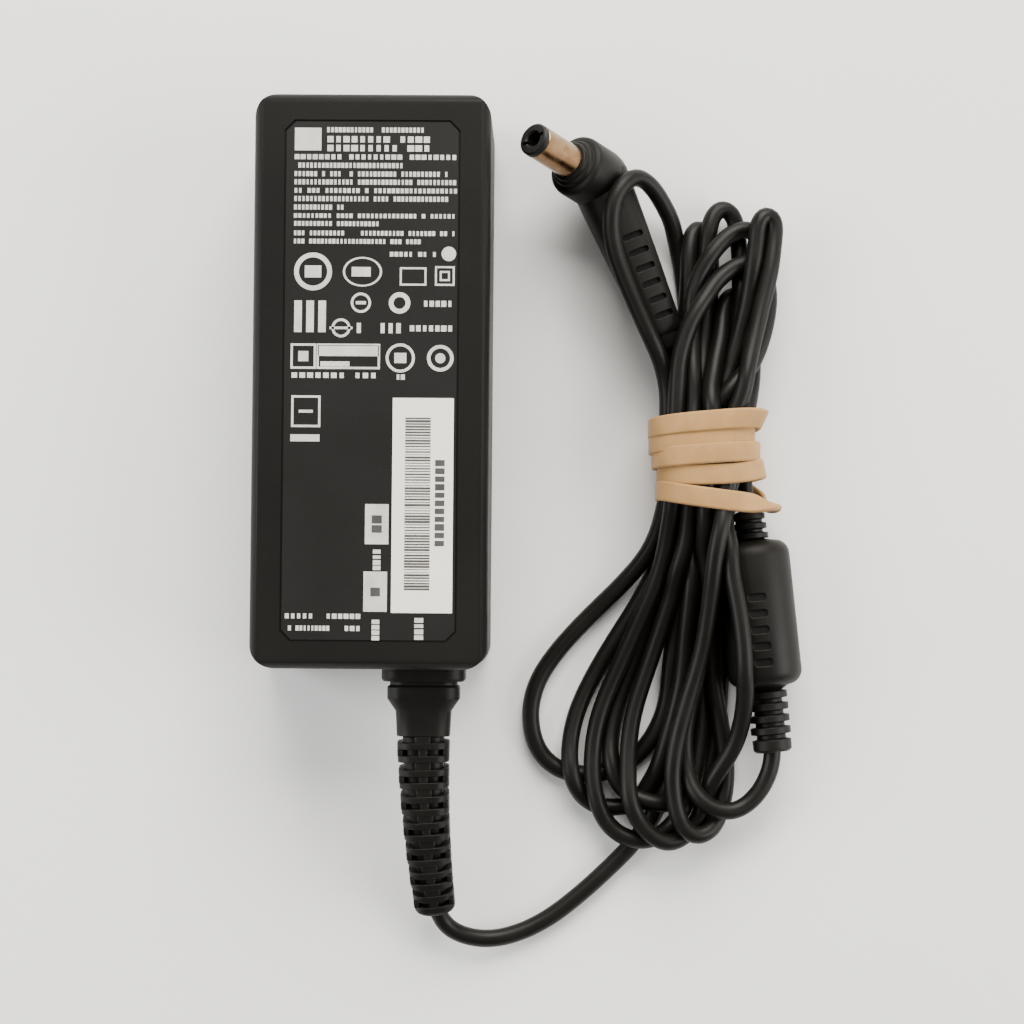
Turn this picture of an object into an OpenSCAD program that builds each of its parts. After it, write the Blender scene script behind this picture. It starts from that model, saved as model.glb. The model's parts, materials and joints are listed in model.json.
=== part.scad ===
// Laptop power adapter, lying label side up with its output cord bundled beside it.
// Origin: bottom centre of the case. +X is the cord side, +Y the mains inlet end, +Z up.

/* [Case] */
// Width of the case
case_w = 37.5; // [34:0.5:42]
// Length of the case
case_l = 91; // [90:0.5:96]
// Height of the case
case_h = 26; // [26:0.5:30]
// Radius of the upright corners
corner_r = 4; // [3:0.5:6]
// Radius of the top and bottom edges
edge_r = 1.6; // [1:0.1:2.5]
// Wall thickness of both shells
wall = 2; // [1.6:0.1:2.4]

/* [Label] */
// Width of the recess for the rating label
label_w = 27.8; // [20:0.1:30]
// Length of the recess for the rating label
label_l = 82.4; // [70:0.1:84]
// Depth of the recess
label_depth = 0.3; // [0.2:0.05:0.4]

/* [Inlet] */
// Spacing of the two mains pins
pin_spacing = 8.6; // [8.4:0.1:8.8]
// Radius of a mains pin
pin_r = 1.18; // [1.1:0.01:1.25]
// Depth of the inlet's socket
socket_depth = 10; // [9:0.5:11]

/* [Output cord] */
// Diameter of the output cord
cord_d = 2.9; // [2.6:0.1:3.2]
// Pitch of the strain relief's rings
relief_pitch = 4.15; // [3.8:0.05:4.3]
// Radius of the ferrite's housing
ferrite_r = 6.1; // [5.8:0.1:6.2]
// Length of the ferrite's housing
ferrite_l = 23.8; // [22:0.2:25]

/* [Plug] */
// Outer radius of the plug's barrel
barrel_r = 2.75; // [2.7:0.01:2.8]
// Length of the metal barrel in front of the head
barrel_l = 8.5; // [8:0.1:10]
// Radius of the hole in the plug's tip
tip_hole_r = 1.25; // [1.0:0.05:1.4]
// Radius of the plug's moulded head
head_r = 5.15; // [4.8:0.05:5.4]

/* [Hidden] */
$fn = 48;
eps = 0.01;
slack = 0.05;

case_mid = case_h / 2;
inner_w = case_w - 2 * wall;
inner_l = case_l - 2 * wall;
inner_r = corner_r - wall;
tongue_t = 0.8;
tongue_h = 1;
tongue_gap = 0.1;

inlet_w = 20;
inlet_h = 13;
inlet_depth = 13;
socket_r = 3.9;
pin_free = 8.5;
stem_pin_r = 0.9;

board_t = 1.6;
board_z = 4.4;
board_top = board_z + board_t;
part_z = board_top + 0.2;

cord_r = cord_d / 2;
relief_at = [8.3, -case_l / 2, case_mid];
relief_rings = 7;
relief_root_l = 10.8;
droop = 3.45;
drift = 0.94;
tail_core_r = 2.6;
tail_sides = 12;

// Centreline of the lead from the strain relief to the hank
lead_route = [
    [10.4, -85.3, 5.6], [11.1, -87.0, 4.4], [12.6, -88.8, 2.8], [15.4, -90.0, 1.7], [19, -90.4, 1.5],
    [24, -89.2, 1.5], [29, -86.6, 1.5], [34, -82.7, 1.5], [38.5, -78.6, 1.5], [41.6, -75.5, 1.5]
];

// Centreline of the loop that rides over the plug's neck
top_loop_route = [
    [45.8, 2.6, 9.7], [43.8, 8.8, 10.6], [41.8, 13.0, 11.4], [40.0, 17.2, 12.2], [38.6, 20.8, 13.0],
    [37.9, 24.6, 13.6], [37.9, 28, 14], [38.5, 31, 14], [39.8, 33.4, 14], [41.4, 34.4, 13.6],
    [43.2, 34.2, 12.6], [45, 32.8, 11.0], [46.6, 31, 9.2], [48.1, 28.8, 7.4], [49.3, 26.2, 6.2]
];

// Outline of the tied hank, clockwise from the foot of its top loops
hank_outline = [
    [51.3, 25.4], [51.6, 28.4], [53.2, 31.2], [56, 32.2], [58.8, 30.8], [61.2, 30.2], [63.6, 30.8],
    [65.4, 28.8], [65.9, 25], [65.2, 14], [63.6, 6.5], [62.1, 0], [62.1, -19.3], [58, -19.6], [54.9, -24.5],
    [55.2, -49], [61, -59.2], [66.2, -60], [64, -64.8], [60, -68.6], [57, -69.8], [55, -72.6],
    [51.6, -73.8], [45, -74.1], [40.8, -73.2], [37.4, -71.2], [34.6, -68], [30.8, -63.8], [26.2, -60],
    [24.1, -54], [25.2, -47.6], [29, -41.4], [36.6, -33.4], [43, -25.6], [46.2, -20.4], [47.1, -18.6],
    [47.1, -2], [48.4, 8], [50.2, 17]
];
hank_z0 = 0;
hank_z1 = 13.5;

band_y0 = -19;
band_y1 = -3;
band_mid_x = 54.6;
band_w = 19.4;
band_h = 15.6;
band_wall = 2;
band_z0 = 0;
band_gap = 0.2;

ferrite_at = [62.75, -36.3, 6.3];
ferrite_turn = -83.7;
core_r = 4.75;
core_l = 20.2;
upper_relief_l = 4.9;
lower_relief_l = 10.8;

plug_at = [31, 37, 13.5];
plug_lean = 40.5;
plug_turn = 158.3;
head_l = 11.2;
stem_r = 2.2;
barrel_floor = 0.6;
tip_l = 1;
neck_start = [36.1, 35.1, 7.2];
neck_end = [47, 9.8, 6.2];

// ---- shared shapes ----

module rounded_plan(w, l, r) {
    square([w - 2 * r, l], center = true);
    square([w, l - 2 * r], center = true);
    for (sx = [-1, 1], sy = [-1, 1])
        translate([sx * (w / 2 - r), sy * (l / 2 - r)]) circle(r);
}

module box_at(centre, size) {
    translate(centre) cube(size, center = true);
}

// A plate standing on z, centred in x and y
module block(x, y, z, size) {
    translate([x - size[0] / 2, y - size[1] / 2, z]) cube(size);
}

module case_block() {
    intersection() {
        linear_extrude(case_h) rounded_plan(case_w, case_l, corner_r);
        translate([0, case_l / 2, case_mid]) rotate([90, 0, 0])
            linear_extrude(case_l) rounded_plan(case_w, case_h, edge_r);
        translate([-case_w / 2, 0, case_mid]) rotate([90, 0, 90])
            linear_extrude(case_w) rounded_plan(case_l, case_h, edge_r);
    }
}

module case_hollow() {
    translate([0, 0, wall]) linear_extrude(case_h - 2 * wall) rounded_plan(inner_w, inner_l, inner_r);
}

module tongue_ring(gap) {
    translate([0, 0, case_mid - eps]) difference() {
        linear_extrude(tongue_h + gap)
            rounded_plan(inner_w + 2 * tongue_t + 2 * gap, inner_l + 2 * tongue_t + 2 * gap, inner_r + tongue_t);
        translate([0, 0, -1]) linear_extrude(tongue_h + 2)
            rounded_plan(inner_w - eps, inner_l - eps, inner_r);
    }
}

module inlet_window(gap) {
    box_at([0, case_l / 2 - wall / 2, case_mid], [inlet_w + 2 * gap, wall + 1, inlet_h + 2 * gap]);
}

module relief_window(gap) {
    box_at([relief_at[0], -case_l / 2 + wall / 2, case_mid], [9 + 2 * gap, wall + 1, 7 + 2 * gap]);
}

module label_outline(w, l, cut) {
    polygon([
        [-w / 2 + cut, -l / 2], [w / 2 - cut, -l / 2], [w / 2, -l / 2 + cut], [w / 2, l / 2 - cut],
        [w / 2 - cut, l / 2], [-w / 2 + cut, l / 2], [-w / 2, l / 2 - cut], [-w / 2, -l / 2 + cut]
    ]);
}

// ---- tube swept along a route, one ring at each of its points ----

function unit(v) = v / norm(v);
function heading(route, i) =
    unit(route[min(i + 1, len(route) - 1)] - route[max(i - 1, 0)]);
function side_of(h) = unit(cross(h, [0, 0, 1]));
function ring(route, i, r, sides) =
    let (h = heading(route, i), s = side_of(h), u = cross(s, h))
    [for (k = [0 : sides - 1]) route[i] + r * (cos(360 * k / sides) * s + sin(360 * k / sides) * u)];
function radius_at(r, i) = is_num(r) ? r : r[i];
function tube_points(route, r, sides) =
    [for (i = [0 : len(route) - 1]) each ring(route, i, radius_at(r, i), sides)];
function tube_faces(count, sides) = concat(
    [[for (k = [sides - 1 : -1 : 0]) k]],
    [for (i = [0 : count - 2], k = [0 : sides - 1])
        let (a = i * sides + k, b = i * sides + (k + 1) % sides)
        each [[a, b + sides, a + sides], [a, b, b + sides]]],
    [[for (k = [0 : sides - 1]) (count - 1) * sides + k]]
);

module tube(route, r, sides = 8) {
    polyhedron(tube_points(route, r, sides), tube_faces(len(route), sides));
}

// ---- case ----

module label_side_shell() {
    color("#1c1b19") difference() {
        intersection() {
            case_block();
            translate([0, 0, case_mid + case_h / 2]) cube([case_w + 2, case_l + 2, case_h], center = true);
        }
        case_hollow();
        tongue_ring(tongue_gap);
        translate([0, 0, case_h - label_depth]) linear_extrude(1) label_outline(label_w, label_l, 1.6);
        inlet_window(tongue_gap);
        relief_window(tongue_gap);
    }
}

module table_side_shell() {
    color("#1c1b19") difference() {
        union() {
            difference() {
                intersection() {
                    case_block();
                    translate([0, 0, case_mid - case_h / 2])
                        cube([case_w + 2, case_l + 2, case_h], center = true);
                }
                case_hollow();
            }
            tongue_ring(0);
        }
        inlet_window(tongue_gap);
        relief_window(tongue_gap);
    }
}

module rating_label() {
    film = 0.2;
    color("#3a3836") translate([0, 0, case_h - label_depth]) linear_extrude(film)
        label_outline(label_w - 0.6, label_l - 0.6, 1.5);
}

module barcode_sticker() {
    film = 0.08;
    sticker_w = 9.6;
    sticker_l = 33.8;
    color("#efece2") block(8.4, -19.7, case_h - label_depth + 0.2, [sticker_w, sticker_l, film]);
}

// ---- mains inlet ----

module socket_hollow() {
    translate([0, case_l / 2 + 1, case_mid]) rotate([90, 0, 0]) linear_extrude(socket_depth + 1) {
        for (s = [-1, 1]) translate([s * pin_spacing / 2, 0]) circle(socket_r);
        square([pin_spacing, 2 * socket_r], center = true);
    }
}

module inlet_pin(x, r, from_y, to_y) {
    translate([x, to_y, case_mid]) rotate([90, 0, 0]) cylinder(h = to_y - from_y, r = r);
}

module inlet_housing() {
    mid_y = case_l / 2 - inlet_depth / 2;
    color("#222120") difference() {
        union() {
            box_at([0, mid_y, case_mid], [inlet_w, inlet_depth, inlet_h]);
            // flange inside the end wall
            box_at([0, case_l / 2 - wall - 0.8, case_mid], [inlet_w + 3, 1.4, inlet_h + 3]);
        }
        socket_hollow();
        for (s = [-1, 1])
            inlet_pin(s * pin_spacing / 2, stem_pin_r + slack, case_l / 2 - inlet_depth - 1, case_l / 2 - socket_depth + 1);
    }
}

module inlet_pins() {
    root = case_l / 2 - socket_depth;
    color("#c9ccd0") for (s = [-1, 1]) {
        inlet_pin(s * pin_spacing / 2, pin_r, root, root + pin_free);
        inlet_pin(s * pin_spacing / 2, stem_pin_r, case_l / 2 - inlet_depth - 2.5, root + 0.5);
    }
}

// ---- circuit board and what is on it ----

module circuit_board() {
    color("#2f6b3c") difference() {
        block(0, -0.5, board_z, [32, 85, board_t]);
        // room for the inlet's flange
        block(0, 42, board_z - 1, [24, 4, board_t + 2]);
    }
}

module mains_fuse() {
    color("#3b3b3d") translate([-13.4, 37, part_z]) cylinder(h = 8, r = 2.4);
}

module surge_varistor() {
    color("#2f6fa8") translate([15.2, 36.5, part_z + 4.6]) rotate([0, -90, 0]) cylinder(h = 3.6, r = 4.5);
}

module x_capacitor() {
    color("#c9a227") block(-8.6, 26.6, part_z, [13, 6, 11]);
}

choke_at = [8, 23, part_z];
choke_outer = 7.2;
choke_inner = 4;
choke_h = 6;
choke_lift = 1.5;

module choke_core() {
    color("#3d5a45") translate(choke_at + [0, 0, choke_lift]) rotate_extrude()
        translate([choke_inner, 0]) square([choke_outer - choke_inner, choke_h]);
}

module choke_windings() {
    wire = 1;
    gap = 0.1;
    arc = 120;
    color("#b5722e") translate(choke_at + [0, 0, choke_lift]) for (start = [-arc / 2, 180 - arc / 2])
        rotate([0, 0, start]) rotate_extrude(angle = arc) difference() {
            translate([choke_inner - gap - wire, -gap - wire])
                square([choke_outer - choke_inner + 2 * (gap + wire), choke_h + 2 * (gap + wire)]);
            translate([choke_inner - gap, -gap])
                square([choke_outer - choke_inner + 2 * gap, choke_h + 2 * gap]);
        }
}

module bridge_rectifier() {
    color("#2a2a2c") {
        block(-9, 20.5, part_z + 2, [14, 3.4, 10.5]);
        for (k = [0 : 3]) block(-9 - 5.7 + 3.8 * k, 20.5, part_z - 0.1, [0.8, 0.6, 2.1]);
    }
}

module inrush_thermistor() {
    color("#3c4a3a") translate([12, 12.9, part_z + 4.2]) rotate([90, 0, 0]) cylinder(h = 3.6, r = 4);
}

module bulk_capacitor() {
    color("#24324d") translate([-9, 15, part_z + 7.4]) rotate([90, 0, 0]) cylinder(h = 23, r = 7.3);
}

module primary_heatsink() {
    color("#b9bcc0") block(1, 1.5, part_z, [1.2, 19, 14.6]);
}

module switching_transistor() {
    color("#29292b") {
        block(4, 1, part_z + 3.5, [4.5, 10, 11]);
        for (k = [-1 : 1]) block(4, 1 + 2.54 * k, part_z - 0.1, [0.5, 0.8, 3.6]);
    }
}

module y_capacitor() {
    color("#3c7fb8") translate([13.5, 5, part_z + 3.7]) rotate([0, -90, 0]) cylinder(h = 3, r = 3.5);
}

module optocoupler() {
    color("#eceae3") block(12, -4, part_z, [4.6, 6.5, 3.6]);
}

module controller_chip() {
    color("#262628") block(5, 5, board_z - 1.5, [4, 5, 1.4]);
}

module chip_resistors() {
    color("#1f1f21") for (i = [0 : 3], j = [0 : 2])
        block(-11 + 7 * i, -32 + 5 * j, board_z - 0.7, [1.6, 0.8, 0.6]);
}

transformer_y = -20;
core_w = 25;
core_depth = 13;
core_h = 15;
window_w = 5;
window_h = 9;
centre_leg_w = 8;

module transformer_core() {
    color("#45454a") difference() {
        block(0, transformer_y, part_z, [core_w, core_depth, core_h]);
        for (s = [-1, 1])
            block(s * (centre_leg_w + window_w) / 2, transformer_y, part_z + (core_h - window_h) / 2,
                  [window_w, core_depth + 2, window_h]);
    }
}

module bobbin_tube(grow, h) {
    block(0, transformer_y, part_z + core_h / 2 - h / 2, [centre_leg_w + 2 * grow, core_depth + 2 * grow, h]);
}

module transformer_bobbin() {
    color("#d9d2b8") difference() {
        union() {
            bobbin_tube(0.9, 8.8);
            for (z = [0, 8.1])
                block(0, transformer_y, part_z + core_h / 2 - 4.4 + z, [centre_leg_w + 9.4, 21, 0.7]);
        }
        bobbin_tube(0.1, 12);
    }
}

module transformer_winding() {
    color("#d8b23a") difference() {
        bobbin_tube(3.8, 7.2);
        bobbin_tube(1, 9);
    }
}

module output_rectifier() {
    color("#29292b") {
        block(12.8, -32, part_z + 3.5, [4.5, 10, 11]);
        for (k = [-1 : 1]) block(12.8, -32 + 2.54 * k, part_z - 0.1, [0.5, 0.8, 3.6]);
    }
}

module secondary_heatsink() {
    color("#b9bcc0") block(15.75, -31.5, part_z, [1.2, 14, 15]);
}

module output_capacitors() {
    color("#2b2a33") for (x = [-12, -3.4]) translate([x, -38.6, part_z]) cylinder(h = 13, r = 4);
}

module output_choke() {
    color("#33363a") translate([-12.9, -30.8, part_z]) cylinder(h = 9, r = 3);
}

module output_wires() {
    color("#8a2a25") for (s = [-1, 1]) translate([8.3 + 1.6 * s, -41.2, part_z]) cylinder(h = 1.7, r = 0.7);
}

module thermal_pad() {
    color("#c7c9cf") block(0, transformer_y, part_z + core_h + 0.05, [20, 12, 0.8]);
}

module heat_spreader() {
    color("#c2c5c9") block(0, -3, part_z + core_h + 0.9, [30, 66, 0.6]);
}

module insulation_sheet() {
    color("#e9e2c6") block(0, -3, part_z + core_h + 1.6, [31.5, 78, 0.4]);
}

// ---- strain relief and output cord ----

// Centre of ring k along the drooping tail, summed one pitch at a time
function tail_step(k) = relief_pitch * [
    sin(drift * k) * cos(droop * k), -cos(drift * k) * cos(droop * k), -sin(droop * k)
];
function tail_point(k) = k == 0 ? relief_at + [0, -relief_root_l, 0] : tail_point(k - 1) + tail_step(k);

// Along each pitch the tail has a groove and then a ring, as shares of the pitch
tail_shares = [0, 0.22, 0.25, 0.95, 0.98];
tail_route = [for (k = [0 : relief_rings - 1], t = tail_shares)
    tail_point(k) + t * (tail_point(k + 1) - tail_point(k))];
tail_radii = [for (k = [0 : relief_rings - 1], t = tail_shares)
    t > 0.23 && t < 0.97 ? 4.1 - 0.14 * k : tail_core_r];

module along_y(from_y, l, w, h, r) {
    translate([0, from_y, 0]) rotate([90, 0, 0]) linear_extrude(l) rounded_plan(w, h, r);
}

module strain_relief() {
    color("#1d1c1a") {
        translate(relief_at) {
            // anchor block held between the shells
            along_y(4.7, 2.6, 12, 10, 2);
            along_y(2.2, 2.3, 9, 7, 1);
            along_y(0, 2.1, 13.4, 11.4, 3);
            along_y(-2, 0.8, 10.8, 9, 2.6);
            along_y(-2.7, 2.6, 11.6, 9.8, 2.6);
            along_y(-5.2, 1.6, 10, 8.8, 2.6);
            along_y(-6.7, 4.2, 8.6, 8, 2.6);
        }
        tube(tail_route, tail_radii, tail_sides);
    }
}

module cord_lead() {
    color("#191918") tube(lead_route, cord_r);
}

module cord_top_loop() {
    color("#191918") tube(top_loop_route, cord_r);
}

module neck_tunnel() {
    run = neck_end - neck_start;
    turn = atan2(run[1], run[0]);
    translate([neck_end[0], neck_end[1], 0]) rotate([0, 0, turn])
        translate([-20, -4.2, -1]) cube([20.4, 8.4, 11.6]);
}

module cord_hank() {
    color("#191918") difference() {
        translate([0, 0, hank_z0]) linear_extrude(hank_z1 - hank_z0) polygon(hank_outline);
        // the band passes under the hank
        translate([40, band_y0 - 0.3, -1])
            cube([30, band_y1 - band_y0 + 0.6, band_z0 + band_wall + band_gap + 1]);
        neck_tunnel();
    }
}

module ferrite_frame() {
    translate(ferrite_at) rotate([0, 0, ferrite_turn]) rotate([0, 90, 0]) children();
}

module cord_in_ferrite() {
    run = ferrite_l + upper_relief_l + lower_relief_l;
    color("#191918") ferrite_frame() translate([0, 0, -ferrite_l / 2 - upper_relief_l]) cylinder(h = run, r = cord_r);
}

module relief_rings_z(count, pitch, r, thick) {
    for (k = [0 : count - 1]) translate([0, 0, k * pitch]) cylinder(h = thick, r = r);
}

module ferrite_housing() {
    half = ferrite_l / 2;
    color("#1e1d1b") ferrite_frame() difference() {
        union() {
            translate([0, 0, -half + 1.5]) cylinder(h = ferrite_l - 3, r = ferrite_r);
            translate([0, 0, -half]) cylinder(h = ferrite_l, r = ferrite_r - 1.5);
            // upper relief, towards the band
            translate([0, 0, -half - upper_relief_l]) cylinder(h = upper_relief_l + 1, r = 2.1);
            translate([0, 0, -half - upper_relief_l + 0.3]) relief_rings_z(3, 1.9, 2.6, 1.1);
            // lower relief, towards the loops
            translate([0, 0, half - 1]) cylinder(h = lower_relief_l + 1, r = 2.2);
            translate([0, 0, half + 1]) relief_rings_z(4, 2.05, 2.9, 1.3);
            translate([0, 0, half + lower_relief_l - 2.2]) cylinder(h = 2.2, r = 3.1);
        }
        cylinder(h = core_l + 0.2, r = core_r + 0.1, center = true);
        cylinder(h = 60, r = cord_r + slack, center = true);
    }
}

module ferrite_core() {
    color("#4a4a4e") ferrite_frame() difference() {
        cylinder(h = core_l, r = core_r, center = true);
        cylinder(h = core_l + 2, r = 1.6, center = true);
    }
}

module rubber_band() {
    color("#d9c39a") translate([band_mid_x, band_y1, band_z0 + band_h / 2]) rotate([90, 0, 0])
        linear_extrude(band_y1 - band_y0) difference() {
            rounded_plan(band_w, band_h, 4);
            rounded_plan(band_w - 2 * band_wall, band_h - 2 * band_wall, 1.5);
        }
}

// ---- plug ----

module plug_frame() {
    translate(plug_at) rotate([0, plug_lean, plug_turn]) children();
}

// A disc across the neck, its face along the neck's run
module neck_disc(t, r, thick) {
    run = neck_end - neck_start;
    turn = atan2(run[1], run[0]);
    translate(neck_start + t * run) rotate([0, 0, turn]) rotate([0, 90, 0]) cylinder(h = thick, r = r, $fn = 32);
}

module plug_body() {
    color("#1d1c1b") difference() {
        union() {
            plug_frame() {
                translate([0, 0, -head_l]) cylinder(h = head_l - 1, r = head_r);
                translate([0, 0, -1 - eps]) cylinder(h = 1 + eps, r = 3.9);
            }
            hull() {
                translate(neck_start + [0.3, -0.6, 0]) sphere(r = 4.9, $fn = 32);
                neck_disc(0.42, 4.2, 0.5);
            }
            hull() {
                neck_disc(0.42, 4.2, 0.5);
                neck_disc(0.66, 3.6, 0.5);
            }
            neck_disc(0.6, 2.5, 10.6);
            for (k = [0 : 3]) neck_disc(0.7 + 0.085 * k, 3.5 - 0.12 * k, 1.5);
        }
        plug_frame() translate([0, 0, -4]) cylinder(h = 5, r = stem_r + slack);
    }
}

module plug_barrel() {
    color("#d7b48c") plug_frame() difference() {
        union() {
            cylinder(h = barrel_l, r = barrel_r);
            translate([0, 0, -3.9]) cylinder(h = 4, r = stem_r);
        }
        translate([0, 0, barrel_floor]) cylinder(h = barrel_l, r = 2.3);
        translate([0, 0, -5]) cylinder(h = 6, r = 1.6);
    }
}

module plug_insulator() {
    color("#232221") plug_frame() difference() {
        union() {
            translate([0, 0, barrel_floor + slack]) cylinder(h = barrel_l - barrel_floor, r = 2.25);
            translate([0, 0, barrel_l + slack]) cylinder(h = tip_l, r = barrel_r - slack);
        }
        translate([0, 0, 4]) cylinder(h = 8, r = tip_hole_r);
        translate([0, 0, -1]) cylinder(h = 6, r = 1.95);
        // two slots beside the hole
        translate([0, 0, barrel_l + 0.4]) rotate([0, 0, 20]) cube([3.9, 0.5, 2], center = true);
    }
}

module plug_contact() {
    color("#c9ccd0") plug_frame() difference() {
        union() {
            translate([0, 0, barrel_floor + 0.1]) cylinder(h = 4.2, r = 1.9);
            translate([0, 0, -3.8]) cylinder(h = 5, r = 1.2);
        }
        translate([0, 0, 1.4]) cylinder(h = 5, r = 1.25);
        // spring slit
        translate([0, 0, 3.5]) cube([5, 0.4, 3], center = true);
    }
}

label_side_shell();
table_side_shell();
rating_label();
barcode_sticker();
inlet_housing();
inlet_pins();
circuit_board();
mains_fuse();
surge_varistor();
x_capacitor();
choke_core();
choke_windings();
bridge_rectifier();
inrush_thermistor();
bulk_capacitor();
primary_heatsink();
switching_transistor();
y_capacitor();
optocoupler();
controller_chip();
chip_resistors();
transformer_core();
transformer_bobbin();
transformer_winding();
output_rectifier();
secondary_heatsink();
output_capacitors();
output_choke();
output_wires();
thermal_pad();
heat_spreader();
insulation_sheet();
strain_relief();
cord_lead();
cord_top_loop();
cord_hank();
cord_in_ferrite();
ferrite_housing();
ferrite_core();
rubber_band();
plug_body();
plug_barrel();
plug_insulator();
plug_contact();
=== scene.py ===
"""Looks of a laptop power adapter whose output cord is folded into a hank and tied.

Sizes in the classes are in millimetres, in the part's own frame. A mesh becomes metres when it becomes
an object.
"""

import json
import logging
import math
from dataclasses import dataclass
from enum import Enum

import bmesh
import bpy
import numpy as np
from mathutils import Matrix, Vector


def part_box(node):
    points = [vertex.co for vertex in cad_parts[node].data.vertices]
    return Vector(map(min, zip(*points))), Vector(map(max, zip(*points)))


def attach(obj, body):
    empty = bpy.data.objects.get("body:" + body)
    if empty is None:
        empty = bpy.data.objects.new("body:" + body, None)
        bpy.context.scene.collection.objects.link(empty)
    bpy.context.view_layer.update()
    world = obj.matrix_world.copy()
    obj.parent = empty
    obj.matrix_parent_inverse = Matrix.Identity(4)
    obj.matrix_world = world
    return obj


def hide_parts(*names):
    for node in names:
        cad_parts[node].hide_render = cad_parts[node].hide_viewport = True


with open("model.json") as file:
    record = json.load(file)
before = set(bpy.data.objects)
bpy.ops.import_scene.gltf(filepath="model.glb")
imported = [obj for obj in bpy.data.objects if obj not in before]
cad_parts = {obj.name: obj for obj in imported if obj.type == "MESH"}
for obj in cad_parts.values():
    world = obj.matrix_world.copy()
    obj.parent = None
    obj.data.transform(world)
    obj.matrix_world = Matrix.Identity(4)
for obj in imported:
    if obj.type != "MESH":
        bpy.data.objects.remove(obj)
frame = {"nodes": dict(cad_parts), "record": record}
log = logging.getLogger("adapter")

MM = 0.001
Point = tuple[float, float, float]
Colour = tuple[float, float, float]
Outline = list[tuple[float, float]]


# ---- finishes ----


class Grain(Enum):
    """How a finish's fine relief is made."""

    SPARK = "fine pits of a moulded surface"
    STREAK = "marks drawn out along one axis"
    FIBRE = "short soft fibres"


@dataclass(frozen=True)
class Finish:
    """One surface finish, from which a procedural material is built.

    Args:
        dark: colour of the darker patches.
        light: colour of the lighter patches.
        rough: lowest and highest roughness.
        patch: size of the colour patches.
        grain_size: size of the fine relief.
        relief: height of the fine relief.
        grain: how the fine relief is made.
        stretch: how the relief is squeezed along X, Y and Z.
        metallic: 1 for a metal.
        coat: weight of a clear coat.
        sheen: weight of a soft sheen.
        shine: strength of the mirror-like reflection, 0.5 for plain glossy plastic.
    """

    dark: Colour
    light: Colour
    rough: tuple[float, float]
    patch: float = 9.0
    grain_size: float = 0.25
    relief: float = 0.02
    grain: Grain = Grain.SPARK
    stretch: Point = (1.0, 1.0, 1.0)
    metallic: float = 0.0
    coat: float = 0.0
    sheen: float = 0.0
    shine: float = 0.5

    def build(self, name: str) -> bpy.types.Material:
        """Builds the material.

        Args:
            name: the material's name.

        Returns:
            The new material.
        """
        material = bpy.data.materials.new(name)
        material.use_nodes = True
        tree = material.node_tree
        shader = tree.nodes["Principled BSDF"]
        shader.inputs["Metallic"].default_value = self.metallic
        shader.inputs["Coat Weight"].default_value = self.coat
        shader.inputs["Coat Roughness"].default_value = 0.25
        shader.inputs["Sheen Weight"].default_value = self.sheen
        shader.inputs["Specular IOR Level"].default_value = self.shine
        place = tree.nodes.new("ShaderNodeTexCoord")
        squeeze = tree.nodes.new("ShaderNodeMapping")
        squeeze.inputs["Scale"].default_value = self.stretch
        tree.links.new(place.outputs["Object"], squeeze.inputs["Vector"])
        patches = self._noise(tree, place.outputs["Object"], self.patch, 3.0)
        fine = self._fine(tree, squeeze.outputs["Vector"])
        ramp = tree.nodes.new("ShaderNodeValToRGB")
        ramp.color_ramp.elements[0].position = 0.3
        ramp.color_ramp.elements[0].color = (*self.dark, 1)
        ramp.color_ramp.elements[1].position = 0.7
        ramp.color_ramp.elements[1].color = (*self.light, 1)
        blend = tree.nodes.new("ShaderNodeMix")
        blend.data_type = "FLOAT"
        blend.inputs["Factor"].default_value = 0.3
        tree.links.new(patches, blend.inputs["A"])
        tree.links.new(fine, blend.inputs["B"])
        tree.links.new(blend.outputs["Result"], ramp.inputs["Fac"])
        tree.links.new(ramp.outputs["Color"], shader.inputs["Base Color"])
        spread = tree.nodes.new("ShaderNodeMapRange")
        spread.inputs["From Min"].default_value = 0.3
        spread.inputs["From Max"].default_value = 0.7
        spread.inputs["To Min"].default_value = self.rough[0]
        spread.inputs["To Max"].default_value = self.rough[1]
        tree.links.new(blend.outputs["Result"], spread.inputs["Value"])
        tree.links.new(spread.outputs["Result"], shader.inputs["Roughness"])
        bump = tree.nodes.new("ShaderNodeBump")
        bump.inputs["Strength"].default_value = 0.6
        bump.inputs["Distance"].default_value = self.relief * MM
        tree.links.new(fine, bump.inputs["Height"])
        tree.links.new(bump.outputs["Normal"], shader.inputs["Normal"])
        return material

    def _fine(self, tree: bpy.types.NodeTree, place: bpy.types.NodeSocket) -> bpy.types.NodeSocket:
        """Adds the fine relief and returns its height."""
        if self.grain is Grain.FIBRE:
            wave = tree.nodes.new("ShaderNodeTexMagic")
            wave.turbulence_depth = 4
            wave.inputs["Scale"].default_value = 1 / (self.grain_size * MM)
            wave.inputs["Distortion"].default_value = 1.4
            tree.links.new(place, wave.inputs["Vector"])
            return wave.outputs["Fac"]
        detail = 2.0 if self.grain is Grain.SPARK else 5.0
        return self._noise(tree, place, self.grain_size, detail)

    @staticmethod
    def _noise(
        tree: bpy.types.NodeTree, place: bpy.types.NodeSocket, size: float, detail: float
    ) -> bpy.types.NodeSocket:
        """Adds a noise whose features are size millimetres across and returns its value."""
        noise = tree.nodes.new("ShaderNodeTexNoise")
        noise.inputs["Scale"].default_value = 1 / (size * MM)
        noise.inputs["Detail"].default_value = detail
        tree.links.new(place, noise.inputs["Vector"])
        return noise.outputs["Fac"]


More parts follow.
